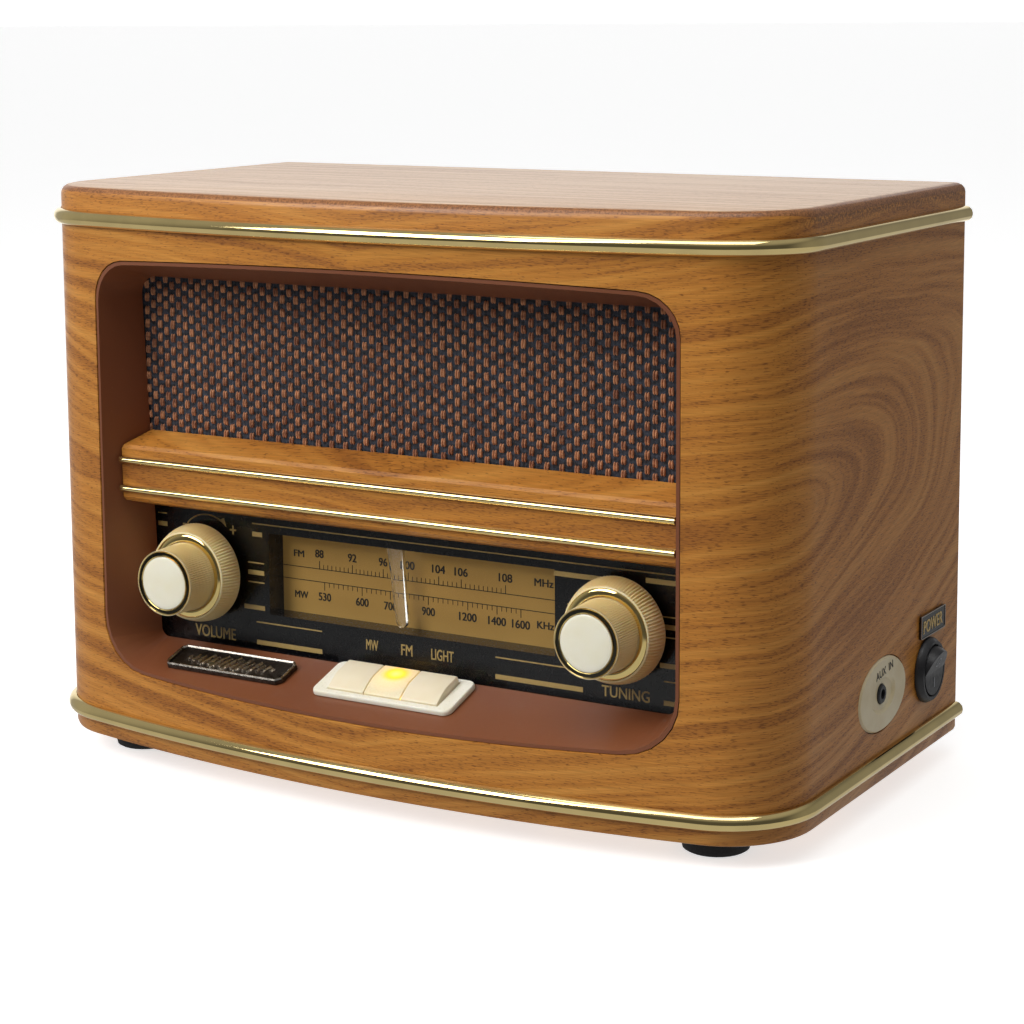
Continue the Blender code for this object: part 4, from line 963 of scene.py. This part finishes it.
def mark_rocker():
    """A ring on the raised half of the rocker and a bar on its pressed half."""
    axis_x = SIDE_X + ROCKER_AXIS_OUT
    proud = math.asin(ROCKER_FLUSH / ROCKER_RADIUS) + ROCKER_SWING
    top = ROCKER_RADIUS * Vector((math.sin(proud), math.cos(proud)))
    along = Vector((math.sin(ROCKER_SWING), math.cos(ROCKER_SWING)))
    out = Vector((math.cos(ROCKER_SWING), -math.sin(ROCKER_SWING)))
    middle = top - along * ((top.x - ROCKER_FLUSH) / math.sin(ROCKER_SWING))
    ring = Print()
    count = 28
    ovals = [(wide * math.cos(2 * math.pi * i / count), tall * math.sin(2 * math.pi * i / count))
             for wide, tall in ((0.0017, 0.0019), (0.0012, 0.0014)) for i in range(count)]
    ring.add(ovals, [(i, (i + 1) % count, count + (i + 1) % count, count + i)
                     for i in range(count)])
    centre = middle + (top - middle) * 0.46

    def on_top(u, v, t):
        spot = centre + along * v + out * (0.00002 + 0.00008 * t)
        return (axis_x + spot.x, SWITCH_PLACE[0] + u, SWITCH_PLACE[1] + spot.y)

    show("rocker_ring_mark", ring.mesh("rocker_ring_mark", on_top), "rocker", GREY_PRINT, (), None)
    bar = Print()
    bar.bar(-0.0003, 0.0003, -0.0017, 0.0017)

    def on_low(u, v, t):
        return (axis_x + ROCKER_FLUSH + 0.00002 + 0.00008 * t, SWITCH_PLACE[0] + u,
                SWITCH_PLACE[1] - 0.0043 + v)

    show("rocker_bar_mark", bar.mesh("rocker_bar_mark", on_low), "rocker", GREY_PRINT, (), None)


def make_camera():
    yaw = 0.5363
    pitch = 0.1396
    roll = -0.0063
    ahead = Vector((-math.sin(yaw) * math.cos(pitch), math.cos(yaw) * math.cos(pitch),
                    -math.sin(pitch)))
    right = Vector((math.cos(yaw), math.sin(yaw), 0.0))
    above = right.cross(ahead)
    tilted_right = right * math.cos(roll) + above * math.sin(roll)
    tilted_up = above * math.cos(roll) - right * math.sin(roll)
    data = bpy.data.cameras.new("camera")
    data.sensor_width = 36.0
    data.lens = 85.29
    data.shift_y = -0.15
    data.clip_start = 0.01
    data.clip_end = 400.0
    camera = bpy.data.objects.new("camera", data)
    bpy.context.scene.collection.objects.link(camera)
    turn = Matrix((tilted_right, tilted_up, -ahead)).transposed()
    camera.matrix_world = Matrix.Translation((0.45474, -0.74408, 0.27058)) @ turn.to_4x4()
    bpy.context.scene.camera = camera


def lamp(name, place, aim, size, power, colour=(1, 1, 1)):
    data = bpy.data.lights.new(name, "AREA")
    data.shape = "RECTANGLE"
    data.size, data.size_y = size
    data.energy = power
    data.color = colour
    item = bpy.data.objects.new(name, data)
    bpy.context.scene.collection.objects.link(item)
    item.location = place
    item.rotation_euler = (Vector(aim) - Vector(place)).to_track_quat("-Z", "Y").to_euler()


SKY_BASE = 0.09
SKY_ABOVE = 0.28
SKY_LEFT = 0.30
SKY_RIGHT = 0.17
SKY_BELOW = 0.42


def make_studio():
    """Pale floor, a soft sky that is darker in front at eye height, and two soft lamps."""
    mesh = bpy.data.meshes.new("studio_floor")
    mesh.from_pydata([(-90, -90, 0), (90, -90, 0), (90, 90, 0), (-90, 90, 0)], [], [(0, 1, 2, 3)])
    floor = bpy.data.objects.new("studio_floor", mesh)
    bpy.context.scene.collection.objects.link(floor)
    paint = Finish("pale_floor")
    fine = paint.noise(None, 60.0, 2.0)
    mesh.materials.append(paint.done(paint.mix(fine, (0.70, 0.70, 0.70, 1), (0.73, 0.73, 0.73, 1)), 0.7,
                                     Emission_Color=(1, 1, 1, 1), Emission_Strength=0.66))
    floor.visible_glossy = False
    floor.visible_diffuse = False
    world = bpy.data.worlds.new("studio")
    bpy.context.scene.world = world
    world.use_nodes = True
    tree = world.node_tree
    link = tree.links.new
    place = tree.nodes.new("ShaderNodeTexCoord")
    total = None
    for toward, low, high, share in (((0.0, 0.0, 1.0), 0.30, 0.85, SKY_ABOVE),
                                     ((-0.508, 0.861, 0.0), 0.70, 0.93, 1.05),
                                     ((-0.97, 0.05, 0.24), 0.50, 0.95, SKY_LEFT),
                                     ((0.60, 0.80, 0.0), 0.55, 0.98, SKY_RIGHT),
                                     ((0.0, 0.0, -1.0), 0.20, 0.30, SKY_BELOW)):
        dot = tree.nodes.new("ShaderNodeVectorMath")
        dot.operation = "DOT_PRODUCT"
        dot.inputs[1].default_value = toward
        link(place.outputs["Generated"], dot.inputs[0])
        step = tree.nodes.new("ShaderNodeMapRange")
        step.interpolation_type = "SMOOTHSTEP"
        for socket, value in zip(list(step.inputs)[1:5], (low, high, 0.0, share)):
            socket.default_value = value
        link(dot.outputs["Value"], step.inputs[0])
        if total is None:
            total = step.outputs[0]
            continue
        top = tree.nodes.new("ShaderNodeMath")
        top.operation = "MAXIMUM"
        link(total, top.inputs[0])
        link(step.outputs[0], top.inputs[1])
        total = top.outputs[0]
    base = tree.nodes.new("ShaderNodeMath")
    base.operation = "ADD"
    base.inputs[1].default_value = SKY_BASE
    link(total, base.inputs[0])
    shade = tree.nodes["Background"]
    link(base.outputs[0], shade.inputs["Color"])
    lamp("key_lamp", (-0.75, -1.25, 1.05), (0, 0, 0.10), (0.9, 0.9), 20)
    lamp("top_lamp", (0.15, -0.35, 1.30), (0, -0.02, 0.10), (1.2, 0.8), 8)
    bpy.context.scene.view_settings.view_transform = "Standard"


finish_cad_nodes()
NODES["dial_pointer"].data.materials.clear()
NODES["dial_pointer"].data.materials.append(POINTER_CLEAR)
weave_grille()
dress_knob("volume", -KNOB_X)
dress_knob("tuning", KNOB_X)
dress_keys()
dress_badge()
print_panel()
print_scale()
print_side()
make_camera()
make_studio()
